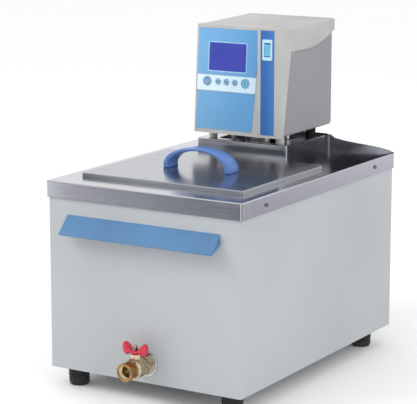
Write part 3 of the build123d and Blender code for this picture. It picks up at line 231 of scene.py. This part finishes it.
def rubber(name, colour):
    """Moulded rubber, with bloom and dust low down."""
    f = Finish(name, specular=0.35)
    dust = f.noise(70.0, detail=6.0, rough=0.65)
    low = f.spread(f.axis("Z"), 0.0, 0.012, 0.55, 0.05)
    bloom = f.math("MULTIPLY", f.spread(dust, 0.4, 0.75), low)
    f.colour(f.mix(bloom, lin(colour), lin((120, 118, 114))))
    f.rough(f.spread(dust, *MID, 0.62, 0.85))
    f.bump(f.noise(1100.0, detail=2.0), 0.3, 100)
    return f.mat


def turned_metal(name, colour, tarnish, axis_at, rough=(0.16, 0.34), pitch=2600.0, mottling=0.45):
    """Machined metal: turning marks about the valve's own axis, with patches of tarnish."""
    f = Finish(name, metallic=1.0)
    patch = f.noise(140.0, detail=6.0, rough=0.6)
    node = f.add("ShaderNodeTexWave")
    node.wave_type = "RINGS"
    node.rings_direction = "Y"
    node.inputs["Scale"].default_value = pitch / 8
    node.inputs["Distortion"].default_value = 1.2
    node.inputs["Detail"].default_value = 2.0
    f.link(f.place(at=tuple(-c for c in axis_at)), node.inputs["Vector"])
    marks = node.outputs["Fac"]
    base = f.mix(f.spread(marks, 0.2, 0.8), lin(shade(colour, 0.94)), lin(shade(colour, 1.04)))
    f.colour(f.mix(f.spread(patch, 0.48, 0.72, 0.0, mottling), base, lin(tarnish)))
    f.rough(f.spread(patch, 0.3, 0.75, *rough))
    f.bump(marks, 0.25, 30)
    f.bump(f.noise(900.0, detail=2.0), 0.15, 40)
    return f.mat


def cast_coat(name, colour, rough=(0.30, 0.42)):
    """Thick dipped coat over a casting: glossy, slightly lumpy, with scattered darker patches."""
    f = Finish(name, coat=0.45, coat_rough=0.14)
    lump = f.noise(160.0, detail=3.0)
    tone = f.mix(f.spread(lump, *MID), lin(shade(colour, 0.93)), lin(shade(colour, 1.05)))
    f.colour(f.mix(f.spread(f.noise(420.0), 0.62, 0.8, 0.0, 0.35), tone, lin(shade(colour, 0.72))))
    f.rough(f.spread(lump, *MID, *rough))
    f.bump(lump, 0.3, 400)
    return f.mat


def felt(name, colour):
    """Matted mineral fibre."""
    f = Finish(name, specular=0.1)
    fibre = f.noise(300.0, stretch=(1.0, 0.35, 2.0), detail=6.0, rough=0.75)
    f.colour(f.mix(f.spread(fibre, 0.35, 0.7), lin(shade(colour, 0.78)), lin(shade(colour, 1.1))))
    f.rough(f.spread(fibre, *MID, 0.8, 1.0))
    f.bump(fibre, 0.8, 1200)
    return f.mat


def circuit_board(name, colour):
    """Solder mask with copper runs showing through."""
    f = Finish(name, coat=0.5, coat_rough=0.2)
    node = f.add("ShaderNodeTexBrick")
    node.inputs["Scale"].default_value = 260.0
    node.inputs["Mortar Size"].default_value = 0.06
    node.inputs["Color1"].default_value = lin(colour)
    node.inputs["Color2"].default_value = lin(shade(colour, 0.9))
    node.inputs["Mortar"].default_value = lin((60, 120, 70))
    f.link(f.place(turn=(math.pi / 2, 0, 0)), node.inputs["Vector"])
    f.colour(node.outputs["Color"])
    f.rough(f.spread(f.noise(80.0), *MID, 0.3, 0.45))
    f.bump(node.outputs["Fac"], 0.2, 80)
    return f.mat


def display_face(name, colour):
    """Tinted display: deep violet-blue under a glossy window, with a faint dot grid."""
    f = Finish(name, coat=0.6, coat_rough=0.08)
    cloud = f.noise(20.0, detail=2.0)
    dots = f.cells(1400.0)
    tone = f.mix(f.spread(cloud, *MID), lin(shade(colour, 0.97)), lin(shade(colour, 1.04)))
    f.colour(f.mix(f.spread(dots, 0.2, 0.6, 0.0, 0.05), tone, lin(shade(colour, 1.18))))
    f.rough(f.spread(f.noise(60.0), *MID, 0.22, 0.32))
    f.bump(dots, 0.04, 10)
    return f.mat


PANEL_LO, PANEL_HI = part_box("front_bezel")
VALVE_LO, VALVE_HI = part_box("valve_spout")
VALVE_AXIS = tuple((low + high) / 2 for low, high in zip(VALVE_LO, VALVE_HI))
MAIN_PANEL_END = 108 * MM    # the main panels end this far from the bezel's left edge
STRIP_START = 118 * MM       # and the side strip begins here
PANEL_SPAN = (PANEL_LO.x, PANEL_LO.x + MAIN_PANEL_END)

MATERIALS = {
    "casing_paint": powder_coat("casing_paint", (174, 178, 181)),
    "zinc_sheet": sheet_steel("zinc_sheet", (165, 168, 172), rough=(0.3, 0.5)),
    "foot_rubber": rubber("foot_rubber", (34, 34, 37)),
    "fasteners": turned_metal("fasteners", (134, 132, 136), (88, 86, 90), (0, 0, 0), pitch=1500.0),
    "bath_steel": sheet_steel("bath_steel", (226, 228, 231), rough=(0.3, 0.46)),
    "mineral_wool": felt("mineral_wool", (196, 182, 140)),
    "deck_steel": sheet_steel("deck_steel", (200, 201, 206)),
    "lid_steel": sheet_steel("lid_steel", (170, 172, 178), rough=(0.13, 0.23)),
    "grip_blue": moulded("grip_blue", (83, 127, 169), rough=(0.4, 0.52)),
    "handle_blue": moulded("handle_blue", (84, 120, 186), rough=(0.26, 0.36), coat=0.3),
    "nylon_natural": moulded("nylon_natural", (208, 203, 190)),
    "spacer_rubber": rubber("spacer_rubber", (30, 30, 31)),
    "valve_brass": turned_metal("valve_brass", (218, 202, 172), (104, 86, 56), VALVE_AXIS,
                                mottling=0.7),
    "seat_ptfe": moulded("seat_ptfe", (232, 232, 228)),
    "ball_chrome": turned_metal("ball_chrome", (215, 215, 218), (170, 170, 172), VALVE_AXIS,
                                rough=(0.06, 0.12)),
    "lever_red": cast_coat("lever_red", (196, 30, 56)),
    "head_grey_dark": powder_coat("head_grey_dark", (152, 149, 155)),
    "head_grey_light": moulded("head_grey_light", (184, 184, 182), rough=(0.42, 0.55)),
    "panel_blue": printed_film("panel_blue", (118, 176, 220), (98, 162, 214), PANEL_SPAN),
    "panel_white": printed_film("panel_white", (222, 243, 253), (208, 234, 248), PANEL_SPAN),
    "display_glass": display_face("display_glass", (66, 74, 172)),
    "board_green": circuit_board("board_green", (28, 96, 58)),
    "key_grey": moulded("key_grey", (136, 172, 198)),
    "key_teal": moulded("key_teal", (128, 188, 206)),
    "strip_blue": printed_film("strip_blue", (52, 108, 178), (76, 140, 204),
                               (PANEL_LO.x + STRIP_START, PANEL_HI.x)),
    "rocker_pale": moulded("rocker_pale", (184, 222, 244)),
    "rocker_teal": moulded("rocker_teal", (112, 190, 216), rough=(0.2, 0.28), coat=0.5),
    "motor_aluminium": sheet_steel("motor_aluminium", (186, 188, 192), rough=(0.3, 0.45)),
    "shaft_steel": sheet_steel("shaft_steel", (180, 181, 184), rough=(0.14, 0.22)),
    "impeller_plastic": moulded("impeller_plastic", (56, 56, 60)),
    "port_nickel": turned_metal("port_nickel", (190, 188, 180), (150, 146, 138), VALVE_AXIS),
    "float_white": moulded("float_white", (226, 226, 220)),
    "fan_black": moulded("fan_black", (36, 36, 39)),
    "inlet_black": moulded("inlet_black", (32, 32, 33)),
}

for node_name, node_object in NODES.items():
    node_object.data.materials.clear()
    node_object.data.materials.append(MATERIALS[SLOT_OF[node_name]])
# The spout gets a darker copy of the brass, with more of it under dark patches.
NODES["valve_spout"].data.materials[0] = turned_metal(
    "valve_brass_darker", (164, 132, 80), (74, 54, 26), VALVE_AXIS, mottling=0.8)


# ---- detail pieces -----------------------------------------------------------------------------
WELD = 1e-7                 # points nearer than this are one
SKEW = Vector((0.31, 0.52, 0.79))


def piece(name, verts, faces, slot, body, replaced=(), smooth=True):
    """A closed mesh with consistent normals, finished from a record slot and riding on a body."""
    mesh = bpy.data.meshes.new(name)
    mesh.from_pydata([tuple(v) for v in verts], [], faces)
    work = bmesh.new()
    work.from_mesh(mesh)
    bmesh.ops.remove_doubles(work, verts=work.verts, dist=WELD)
    bmesh.ops.recalc_face_normals(work, faces=work.faces)
    work.to_mesh(mesh)
    work.free()
    for polygon in mesh.polygons:
        polygon.use_smooth = smooth
    mesh.materials.append(MATERIALS[slot])
    made = bpy.data.objects.new(name, mesh)
    bpy.context.scene.collection.objects.link(made)
    if replaced:
        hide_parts(*replaced)
    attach(made, body)
    return made


def merge(parts):
    """Several (vertices, faces) shells as one list of each."""
    verts, faces = [], []
    for part_verts, part_faces in parts:
        start = len(verts)
        verts += part_verts
        faces += [tuple(i + start for i in face) for face in part_faces]
    return verts, faces


def skin(rings, closed=False):
    """Faces between equal rings of points; ends are capped unless the row of rings is closed."""
    count = len(rings[0])
    verts = [p for ring in rings for p in ring]
    faces = []
    for i in range(len(rings) if closed else len(rings) - 1):
        a, b = i * count, (i + 1) % len(rings) * count
        for j in range(count):
            k = (j + 1) % count
            faces.append((a + j, a + k, b + k, b + j))
    if not closed:
        faces.append(tuple(range(count)))
        faces.append(tuple(range(len(verts) - count, len(verts))))
    return verts, faces


def lathe(profile, centre, axis, steps=64):
    """Closed (radius, height) outline turned about an axis through the centre."""
    up = Vector(axis).normalized()
    side = up.orthogonal().normalized()
    other = up.cross(side)
    rings = []
    for i in range(steps):
        a = 2 * math.pi * i / steps
        out = side * math.cos(a) + other * math.sin(a)
        rings.append([Vector(centre) + out * r + up * h for r, h in profile])
    return skin(rings, closed=True)


def rounded(half_a, half_b, power, count=24):
    """Superellipse outline in two numbers."""
    points = []
    for i in range(count):
        t = 2 * math.pi * i / count
        c, s = math.cos(t), math.sin(t)
        points.append((half_a * math.copysign(abs(c) ** (2 / power), c),
                       half_b * math.copysign(abs(s) ** (2 / power), s)))
    return points


def wire(path, radius, closed=False, count=10):
    """Round wire along a path of points; no run of a path may lie along SKEW."""
    rings = []
    total = len(path)
    for i, p in enumerate(path):
        before = path[i - 1] if i or closed else p
        after = path[(i + 1) % total] if i < total - 1 or closed else p
        run = (after - before).normalized()
        side = run.cross(SKEW).normalized()
        other = run.cross(side)
        rings.append([p + side * radius * math.cos(2 * math.pi * j / count)
                      + other * radius * math.sin(2 * math.pi * j / count) for j in range(count)])
    return skin(rings, closed)


def middle(node):
    """Centre of a node's box at rest."""
    low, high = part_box(node)
    return (low + high) / 2


# Bridge handle of the lid: one soft-edged band, a little wider and thicker at its feet.
handle_lo, handle_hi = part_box("lid_handle")
HANDLE_RISE = 4 * MM        # the arch's middle lies this far above the lid
HANDLE_THICK = 6.0 * MM     # half thickness at the feet
HANDLE_THIN = 2.5 * MM      # half thickness at the top
HANDLE_GAP = 0.2 * MM       # the feet end this far above the lid
HANDLE_WAIST = 0.98         # width at the top, as a share of the CAD band's
HANDLE_FLARE = 0.20         # and how much of that share the feet add
HANDLE_SWELL = 2.2          # how near the feet the band starts to grow
HANDLE_SQUARE = 3.2         # squareness of the band's section
HANDLE_STEPS = 56
handle_mid = middle("lid_handle")
arch_z = handle_lo.z + HANDLE_RISE
mean_half = handle_hi.x - handle_mid.x - HANDLE_THICK
mean_rise = handle_hi.z - arch_z - HANDLE_THIN
handle_rings = []
dip = math.asin((HANDLE_RISE - HANDLE_GAP) / mean_rise)
for step in range(HANDLE_STEPS + 1):
    turn = -dip + (math.pi + 2 * dip) * step / HANDLE_STEPS
    foot_part = abs(math.cos(turn)) ** HANDLE_SWELL
    half_thick = HANDLE_THIN + (HANDLE_THICK - HANDLE_THIN) * foot_part
    half_wide = (handle_hi.y - handle_mid.y) * (HANDLE_WAIST + HANDLE_FLARE * foot_part)
    across = Vector((math.cos(turn) / mean_half, 0, math.sin(turn) / mean_rise)).normalized()
    if step in (0, HANDLE_STEPS):
        across = Vector((math.copysign(1.0, across.x), 0, 0))
    spine = Vector((handle_mid.x + mean_half * math.cos(turn), handle_mid.y,
                    arch_z + mean_rise * math.sin(turn)))
    handle_rings.append([spine + across * a + Vector((0, b, 0))
                         for a, b in rounded(half_thick, half_wide, HANDLE_SQUARE)])
piece("bridge_handle", *skin(handle_rings), "handle_blue", "lid", ("lid_handle",))

# Drain lever: a cast butterfly with two upswept lobes, dipped in red.
# Each lobe's sections, in millimetres: distance out, height, half height, half width.
WING = [(5.2, 3.3, 3.1, 6.6), (8.2, 4.6, 4.3, 7.0), (11.0, 5.2, 7.6, 7.2), (14.0, 6.2, 9.2, 7.0),
        (17.0, 7.4, 8.2, 6.0), (19.0, 8.6, 5.0, 4.0), (19.9, 9.2, 2.2, 1.8)]
WING_SQUARE = 2.4
HUB = [(3.6, 0), (6.6, 0), (7, 0.5), (7, 4.4), (6.4, 5), (3.6, 5)]      # radius, height in millimetres
lever_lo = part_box("valve_lever")[0]
lever_mid = middle("valve_lever")
lever_parts = [lathe([(radius * MM, rise * MM) for radius, rise in HUB],
                     (lever_mid.x, lever_mid.y, lever_lo.z), (0, 0, 1))]
for side in (-1, 1):
    wing_rings = []
    for out, rise, tall, wide in WING:
        heart = Vector((lever_mid.x + side * out * MM, lever_mid.y, lever_lo.z + rise * MM))
        outline = rounded(tall * MM, wide * MM, WING_SQUARE)
        wing_rings.append([heart + Vector((0, b, a)) for a, b in outline])
    lever_parts.append(skin(wing_rings))
lever = piece("butterfly_lever", *merge(lever_parts), "lever_red", "drain_valve", ("valve_lever",))
fuse = lever.modifiers.new("cast", "REMESH")
fuse.mode = "VOXEL"
fuse.voxel_size = 0.45 * MM
fuse.use_smooth_shade = True
soften = lever.modifiers.new("soften", "SMOOTH")
soften.factor = 0.6
soften.iterations = 6

# Internal pipe thread of the drain spout: a helical ridge inside the socket.
THREAD_PITCH = 1.814 * MM
THREAD_OUTER = 9.45 * MM
THREAD_DEPTH = 0.9 * MM
THREAD_TURNS = 4.3
THREAD_STEPS = 260
THREAD_START = 1.1 * MM     # first turn, behind the spout's mouth
THREAD_ROOT = 0.7 * MM      # half width where the ridge meets the bore
THREAD_CREST = 0.12 * MM    # half width at its top
thread_rings = []
for step in range(THREAD_STEPS + 1):
    turns = THREAD_TURNS * step / THREAD_STEPS
    angle = 2 * math.pi * turns
    fade = min(1.0, 4 * turns, 4 * (THREAD_TURNS - turns))
    y = VALVE_LO.y + THREAD_START + THREAD_PITCH * turns
    crest = THREAD_OUTER - THREAD_DEPTH * (0.25 + 0.75 * fade)
    thread_rings.append([
        Vector((VALVE_AXIS[0] + r * math.cos(angle), y + dy, VALVE_AXIS[2] + r * math.sin(angle)))
        for r, dy in ((THREAD_OUTER, -THREAD_ROOT), (crest, -THREAD_CREST), (crest, THREAD_CREST),
                      (THREAD_OUTER, THREAD_ROOT))])
piece("spout_thread", *skin(thread_rings), "valve_brass", "bath", smooth=False)

# Pale frame round the display, and marks on the keys, laid on the leaning panel.
PRESS = Vector(JOINTS["key_1_press"]["axis"]).normalized()
OUT = -PRESS
UP = OUT.cross(Vector((1, 0, 0))).normalized()
if UP.z < 0:
    UP = -UP
FRAME_CORNER = 1.4 * MM
FRAME_WIDE = 0.55 * MM
FRAME_PROUD = 0.2 * MM
FRAME_BEDDED = 0.2 * MM     # the frame's foot lies this far inside the film
GLASS_LIP = 2.0 * MM        # the glass runs this far behind the film's opening
MARK_PROUD = 0.12 * MM
MARK_BEDDED = 0.15 * MM
FACE_BAND = 0.1 * MM        # a key's top face is what lies within this of its outermost level
RING_INNER, RING_OUTER = 0.70, 0.80     # shares of a round key's radius


def face_of(node):
    """Outermost level of a node along the panel's outward direction."""
    return max(OUT.dot(v.co) for v in NODES[node].data.vertices)


def span_up(node):
    """Lowest and highest reach of a node along the panel's slope."""
    rises = [UP.dot(v.co) for v in NODES[node].data.vertices]
    return min(rises), max(rises)


def on_panel(x, rise, level):
    """Point at a place across and up the leaning panel."""
    return Vector((x, 0, 0)) + UP * rise + OUT * level


def panel_ring(x0, x1, u0, u1, wide, level):
    """Rectangular picture frame with rounded corners standing on a panel."""
    rings = []
    for grow, lift in ((0.0, -FRAME_BEDDED), (0.0, FRAME_PROUD), (wide, FRAME_PROUD), (wide, -FRAME_BEDDED)):
        loop = []
        for cx, cu, start in ((x1, u1, 0), (x0, u1, 90), (x0, u0, 180), (x1, u0, 270)):
            sx = 1 if cx == x1 else -1
            su = 1 if cu == u1 else -1
            for k in range(5):
                a = math.radians(start + 90 * k / 4)
                bend = FRAME_CORNER + grow
                loop.append(on_panel(cx - sx * FRAME_CORNER + bend * math.cos(a),
                                     cu - su * FRAME_CORNER + bend * math.sin(a), level + lift))
        rings.append(loop)
    return skin(rings, closed=True)


glass_lo, glass_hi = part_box("display_window")
glass_low, glass_high = span_up("display_window")
film_level = face_of("upper_panel")
piece("display_frame", *panel_ring(glass_lo.x + GLASS_LIP, glass_hi.x - GLASS_LIP, glass_low + GLASS_LIP,
                                   glass_high - GLASS_LIP, FRAME_WIDE, film_level),
      "panel_white", "bath", smooth=False)


def disc_ring(x, rise, level, inner, outer):
    """Flat raised ring round a place on the panel."""
    rings = []
    for i in range(40):
        a = 2 * math.pi * i / 40
        rings.append([on_panel(x + r * math.cos(a), rise + r * math.sin(a), level + h)
                      for r, h in ((inner, -MARK_BEDDED), (inner, MARK_PROUD), (outer, MARK_PROUD),
                                   (outer, -MARK_BEDDED))])
    return skin(rings, closed=True)


def raised_outline(x, rise, level, outline):
    """Flat raised mark from (x, rise) offsets in millimetres."""
    return skin([[on_panel(x + a * MM, rise + b * MM, level + h) for a, b in outline]
                 for h in (-MARK_BEDDED, MARK_PROUD)])


TRIANGLE = [(-1.7, -1.0), (1.7, -1.0), (0, 1.7)]
SQUARE = [(-1.2, -1.2), (1.2, -1.2), (1.2, 1.2), (-1.2, 1.2)]
DOT_RADIUS = 1.6
DOT = [(DOT_RADIUS * math.cos(math.radians(15 * i)), DOT_RADIUS * math.sin(math.radians(15 * i)))
       for i in range(24)]
TICK = [(-0.5, 0.6), (0.5, 0.6), (0.5, 4.2), (-0.5, 4.2)]
MARKS = {"key_1": TICK, "key_2": TRIANGLE, "key_3": SQUARE, "key_4": [(-a, -b) for a, b in TRIANGLE],
         "key_5": DOT}
for key_node, mark in MARKS.items():
    key_lo, key_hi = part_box(key_node)
    level = face_of(key_node)
    face_rises = [UP.dot(v.co) for v in NODES[key_node].data.vertices
                  if OUT.dot(v.co) > level - FACE_BAND]
    centre_rise = (min(face_rises) + max(face_rises)) / 2
    centre_x = (key_lo.x + key_hi.x) / 2
    parts = [raised_outline(centre_x, centre_rise, level, mark)]
    if key_node in ("key_1", "key_5"):
        reach = (max(face_rises) - min(face_rises)) / 2
        parts.append(disc_ring(centre_x, centre_rise, level, reach * RING_INNER, reach * RING_OUTER))
    piece(key_node + "_mark", *merge(parts), "strip_blue", key_node + "_cap", smooth=False)

# Rubber feet with a foot ring and grip grooves, each round its own screw recess.
feet_lo, feet_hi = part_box("feet")
FOOT_OUT = 16.5 * MM        # a foot's centre, inside the box round all four
foot_rise = feet_hi.z - feet_lo.z
# Radius in millimetres, and height as a share of the foot's.
FOOT_OUTLINE = [(6.0, 0.0), (12.2, 0.0), (13.6, 0.04), (14.4, 0.14), (14.8, 0.34), (14.2, 0.40),
                (15.0, 0.46), (15.2, 0.58), (14.6, 0.64), (15.4, 0.70), (15.7, 0.90), (15.2, 1.0),
                (6.0, 1.0)]
foot_parts = []
for fx in (feet_lo.x + FOOT_OUT, feet_hi.x - FOOT_OUT):
    for fy in (feet_lo.y + FOOT_OUT, feet_hi.y - FOOT_OUT):
        foot_parts.append(lathe([(r * MM, h * foot_rise) for r, h in FOOT_OUTLINE],
                                (fx, fy, feet_lo.z), (0, 0, 1), 48))
piece("grooved_feet", *merge(foot_parts), "foot_rubber", "bath", ("feet",))

# Pressed hoods over the louvre slots of the back panel.
panel_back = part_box("base_rear_panel")[1].y
LOUVRE_HALF = 33 * MM
LOUVRE_OUT = 3.2 * MM
LOUVRE_MIDDLE = 75 * MM     # each column's distance from the centre line
LOUVRE_LOWEST = 62.0        # millimetres above the bench
LOUVRE_PITCH = 9.0
LOUVRE_TOP = 5.6 * MM       # a hood's root above its slot's lower edge
LOUVRE_DROP = 5.4 * MM      # outer skin, root to lip
LOUVRE_SHEET = 0.8 * MM
LOUVRE_BEDDED = 0.3 * MM
root_y = panel_back - LOUVRE_BEDDED
hoods = []
for side in (-1, 1):
    for row in range(6):
        slot_low = (LOUVRE_LOWEST + LOUVRE_PITCH * row) * MM
        top = slot_low + LOUVRE_TOP
        stations = []
        for k in range(13):
            along = -1 + 2 * k / 12
            swell = max(0.04, 1 - abs(along) ** 5)
            x = side * LOUVRE_MIDDLE + along * LOUVRE_HALF
            deep = LOUVRE_OUT * swell
            arc = [math.pi / 2 * j / 8 for j in range(9)]
            loop = [Vector((x, root_y + deep * math.sin(a), top - LOUVRE_DROP * (1 - math.cos(a))))
                    for a in arc]
            inner = max(0.0, deep - LOUVRE_SHEET)
            loop += [Vector((x, root_y + inner * math.sin(a),
                             top - LOUVRE_SHEET - (LOUVRE_DROP - LOUVRE_SHEET) * (1 - math.cos(a))))
                     for a in reversed(arc)]
            stations.append(loop)
        hoods.append(skin(stations))
piece("louvre_hoods", *merge(hoods), SLOT_OF["base_rear_panel"], "bath")

# Wire guard over the cooling fan.
fan_mid = middle("fan_frame")
head_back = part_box("head_rear_panel")[1].y
GUARD_WIRE = 0.7 * MM
GUARD_RINGS = (8, 14, 20, 26)       # radii in millimetres
GUARD_SPOKE = (6, 28, 35)           # a spoke's two ends on the rings, and its foot on the panel
RING_OFF = 2.2 * MM                 # how far behind the panel the rings stand
SPOKE_OFF = 1.0 * MM
SPOKE_DIP = 0.4 * MM                 # the foot turns this far in to the panel
guard = []
for ring_radius in GUARD_RINGS:
    turns = [2 * math.pi * i / 48 for i in range(48)]
    loop = [Vector((fan_mid.x + ring_radius * MM * math.cos(a), head_back + RING_OFF,
                    fan_mid.z + ring_radius * MM * math.sin(a))) for a in turns]
    guard.append(wire(loop, GUARD_WIRE, closed=True))
for k in range(4):
    a = math.radians(45 + 90 * k)
    ray = Vector((math.cos(a), 0, math.sin(a)))
    start = Vector((fan_mid.x, head_back + SPOKE_OFF, fan_mid.z))
    path = [start + ray * reach * MM for reach in GUARD_SPOKE]
    path[-1] += Vector((0, -SPOKE_DIP, 0))
    guard.append(wire(path, GUARD_WIRE))
piece("fan_guard", *merge(guard), "fasteners", "bath")


# ---- studio ------------------------------------------------------------------------------------
CAMERA_AT = (1.3787, -2.30915, 0.7962)
CAMERA_AZIMUTH = 31.28
CAMERA_ELEVATION = 11.53
CAMERA_LENS = 161.7
CAMERA_SENSOR = 36.0
CAMERA_FAR = 60.0
LIGHT_TARGET = (0, 0, 0.25)
FLOOR_HALF = 30.0
FLOOR_WHITE = (252, 252, 252)
FLOOR_CARD = 0.01           # height of the lying cards
FRONT_ROW = -0.9            # the cards in front of the object stand in this plane
SCREEN_GAP = 4 * MM


def add_light(name, energy, size, place):
    """Soft rectangular lamp aimed at the object; reflections don't show it."""
    lamp = bpy.data.lights.new(name, "AREA")
    lamp.shape = "RECTANGLE"
    lamp.size, lamp.size_y = size
    lamp.energy = energy
    holder = bpy.data.objects.new(name, lamp)
    holder.location = place
    aim = Vector(LIGHT_TARGET) - Vector(place)
    holder.rotation_euler = aim.to_track_quat("-Z", "Y").to_euler()
    holder.visible_glossy = False
    bpy.context.scene.collection.objects.link(holder)


def stage_sheet(name, corners, finish):
    """One flat face that stands round the object and isn't part of it."""
    mesh = bpy.data.meshes.new(name)
    mesh.from_pydata([Vector(c) for c in corners], [], [tuple(range(len(corners)))])
    mesh.materials.append(finish)
    sheet = bpy.data.objects.new(name, mesh)
    bpy.context.scene.collection.objects.link(sheet)
    return sheet


def floor_paint(name, colour):
    """Matt pale paint with barely visible clouding."""
    f = Finish(name, specular=0.1)
    cloud = f.noise(1.5, detail=3.0)
    f.colour(f.mix(cloud, lin(shade(colour, 0.99)), lin(colour)))
    f.rough(f.spread(cloud, 0.0, 1.0, 0.85, 0.9))
    return f.mat


def card_tone(name, corners, near, far, axis):
    """Matt card, toned from one shade to another along an axis."""
    reach = [c["XYZ".index(axis)] for c in corners]
    f = Finish(name, specular=0.0)
    f.colour(f.mix(f.spread(f.axis(axis), min(reach), max(reach)), lin(near), lin(far)))
    f.rough(f.spread(f.noise(2.0), 0.0, 1.0, 0.9, 1.0))
    return f.mat


def studio_card(name, corners, near, far, axis):
    """A card seen only in reflections."""
    card = stage_sheet(name, corners, card_tone(name + "_tone", corners, near, far, axis))
    card.visible_camera = False
    card.visible_diffuse = False
    card.visible_shadow = False
    card.visible_transmission = False


def upright(x0, x1, y, z0, z1):
    """Corners of a standing sheet."""
    return [(x0, y, z0), (x1, y, z0), (x1, y, z1), (x0, y, z1)]


def lying(x0, x1, y0, y1, z):
    """Corners of a lying sheet."""
    return [(x0, y0, z), (x1, y0, z), (x1, y1, z), (x0, y1, z)]


camera_data = bpy.data.cameras.new("camera")
camera_data.lens = CAMERA_LENS
camera_data.sensor_width = CAMERA_SENSOR
camera_data.clip_end = CAMERA_FAR
camera = bpy.data.objects.new("camera", camera_data)
camera.location = CAMERA_AT
camera.rotation_euler = (math.radians(90 - CAMERA_ELEVATION), 0, math.radians(CAMERA_AZIMUTH))
bpy.context.scene.collection.objects.link(camera)
bpy.context.scene.camera = camera
bpy.context.scene.view_settings.view_transform = "Standard"

world = bpy.data.worlds.new("studio")
bpy.context.scene.world = world
world.use_nodes = True
backdrop = world.node_tree.nodes["Background"]
backdrop.inputs["Color"].default_value = (1.0, 1.0, 1.0, 1.0)
backdrop.inputs["Strength"].default_value = 1.0

stage_sheet("studio_floor", lying(-FLOOR_HALF, FLOOR_HALF, -FLOOR_HALF, FLOOR_HALF, 0),
            floor_paint("studio_floor", FLOOR_WHITE))

# Name, corners, shade at the axis's low end and at its high end, axis. Every card is a painted reflection:
# it is seen only in the steel and glossy parts, where it puts dark or grey-blue tones. card_screen stands
# just in front of the head, so that the lid and deck mirror a grey-blue card and not the head's blue panels.
screen_y = PANEL_LO.y - SCREEN_GAP
CARDS = [
    ("flag_back", upright(-0.18, 0.26, 0.42, 0.30, 0.58), (36, 35, 41), (36, 35, 41), "X"),
    ("card_floor", lying(0.1, 1.7, 0.7, 1.9, FLOOR_CARD), (160, 160, 170), (236, 234, 242), "Y"),
    ("card_corner", lying(0.5, 2.4, -1.7, 0.2, FLOOR_CARD), (128, 128, 136), (128, 128, 136), "X"),
    ("card_low", upright(-0.66, -0.08, FRONT_ROW, 0.0, 0.31), (190, 190, 196), (94, 98, 110), "X"),
    ("card_left", upright(-1.1, -0.62, FRONT_ROW, 0.42, 0.70), (84, 104, 140), (54, 58, 68), "X"),
    ("card_high", upright(-0.62, -0.48, FRONT_ROW, 0.56, 0.70), (56, 58, 68), (56, 58, 66), "X"),
    ("card_mid", upright(-0.44, -0.28, FRONT_ROW, 0.42, 0.52), (190, 200, 214), (96, 124, 164), "X"),
    ("card_right", upright(0.46, 0.95, FRONT_ROW, 0.38, 0.74), (48, 48, 54), (48, 48, 54), "X"),
    ("card_screen", upright(PANEL_LO.x, PANEL_HI.x, screen_y, PANEL_LO.z, PANEL_HI.z),
     (76, 82, 100), (150, 172, 212), "Z"),
]
for card_row in CARDS:
    studio_card(*card_row)
add_light("key", 26.0, (1.6, 1.2), (-1.6, -1.8, 2.2))
add_light("fill", 10.0, (1.6, 1.6), (2.2, -0.6, 1.4))
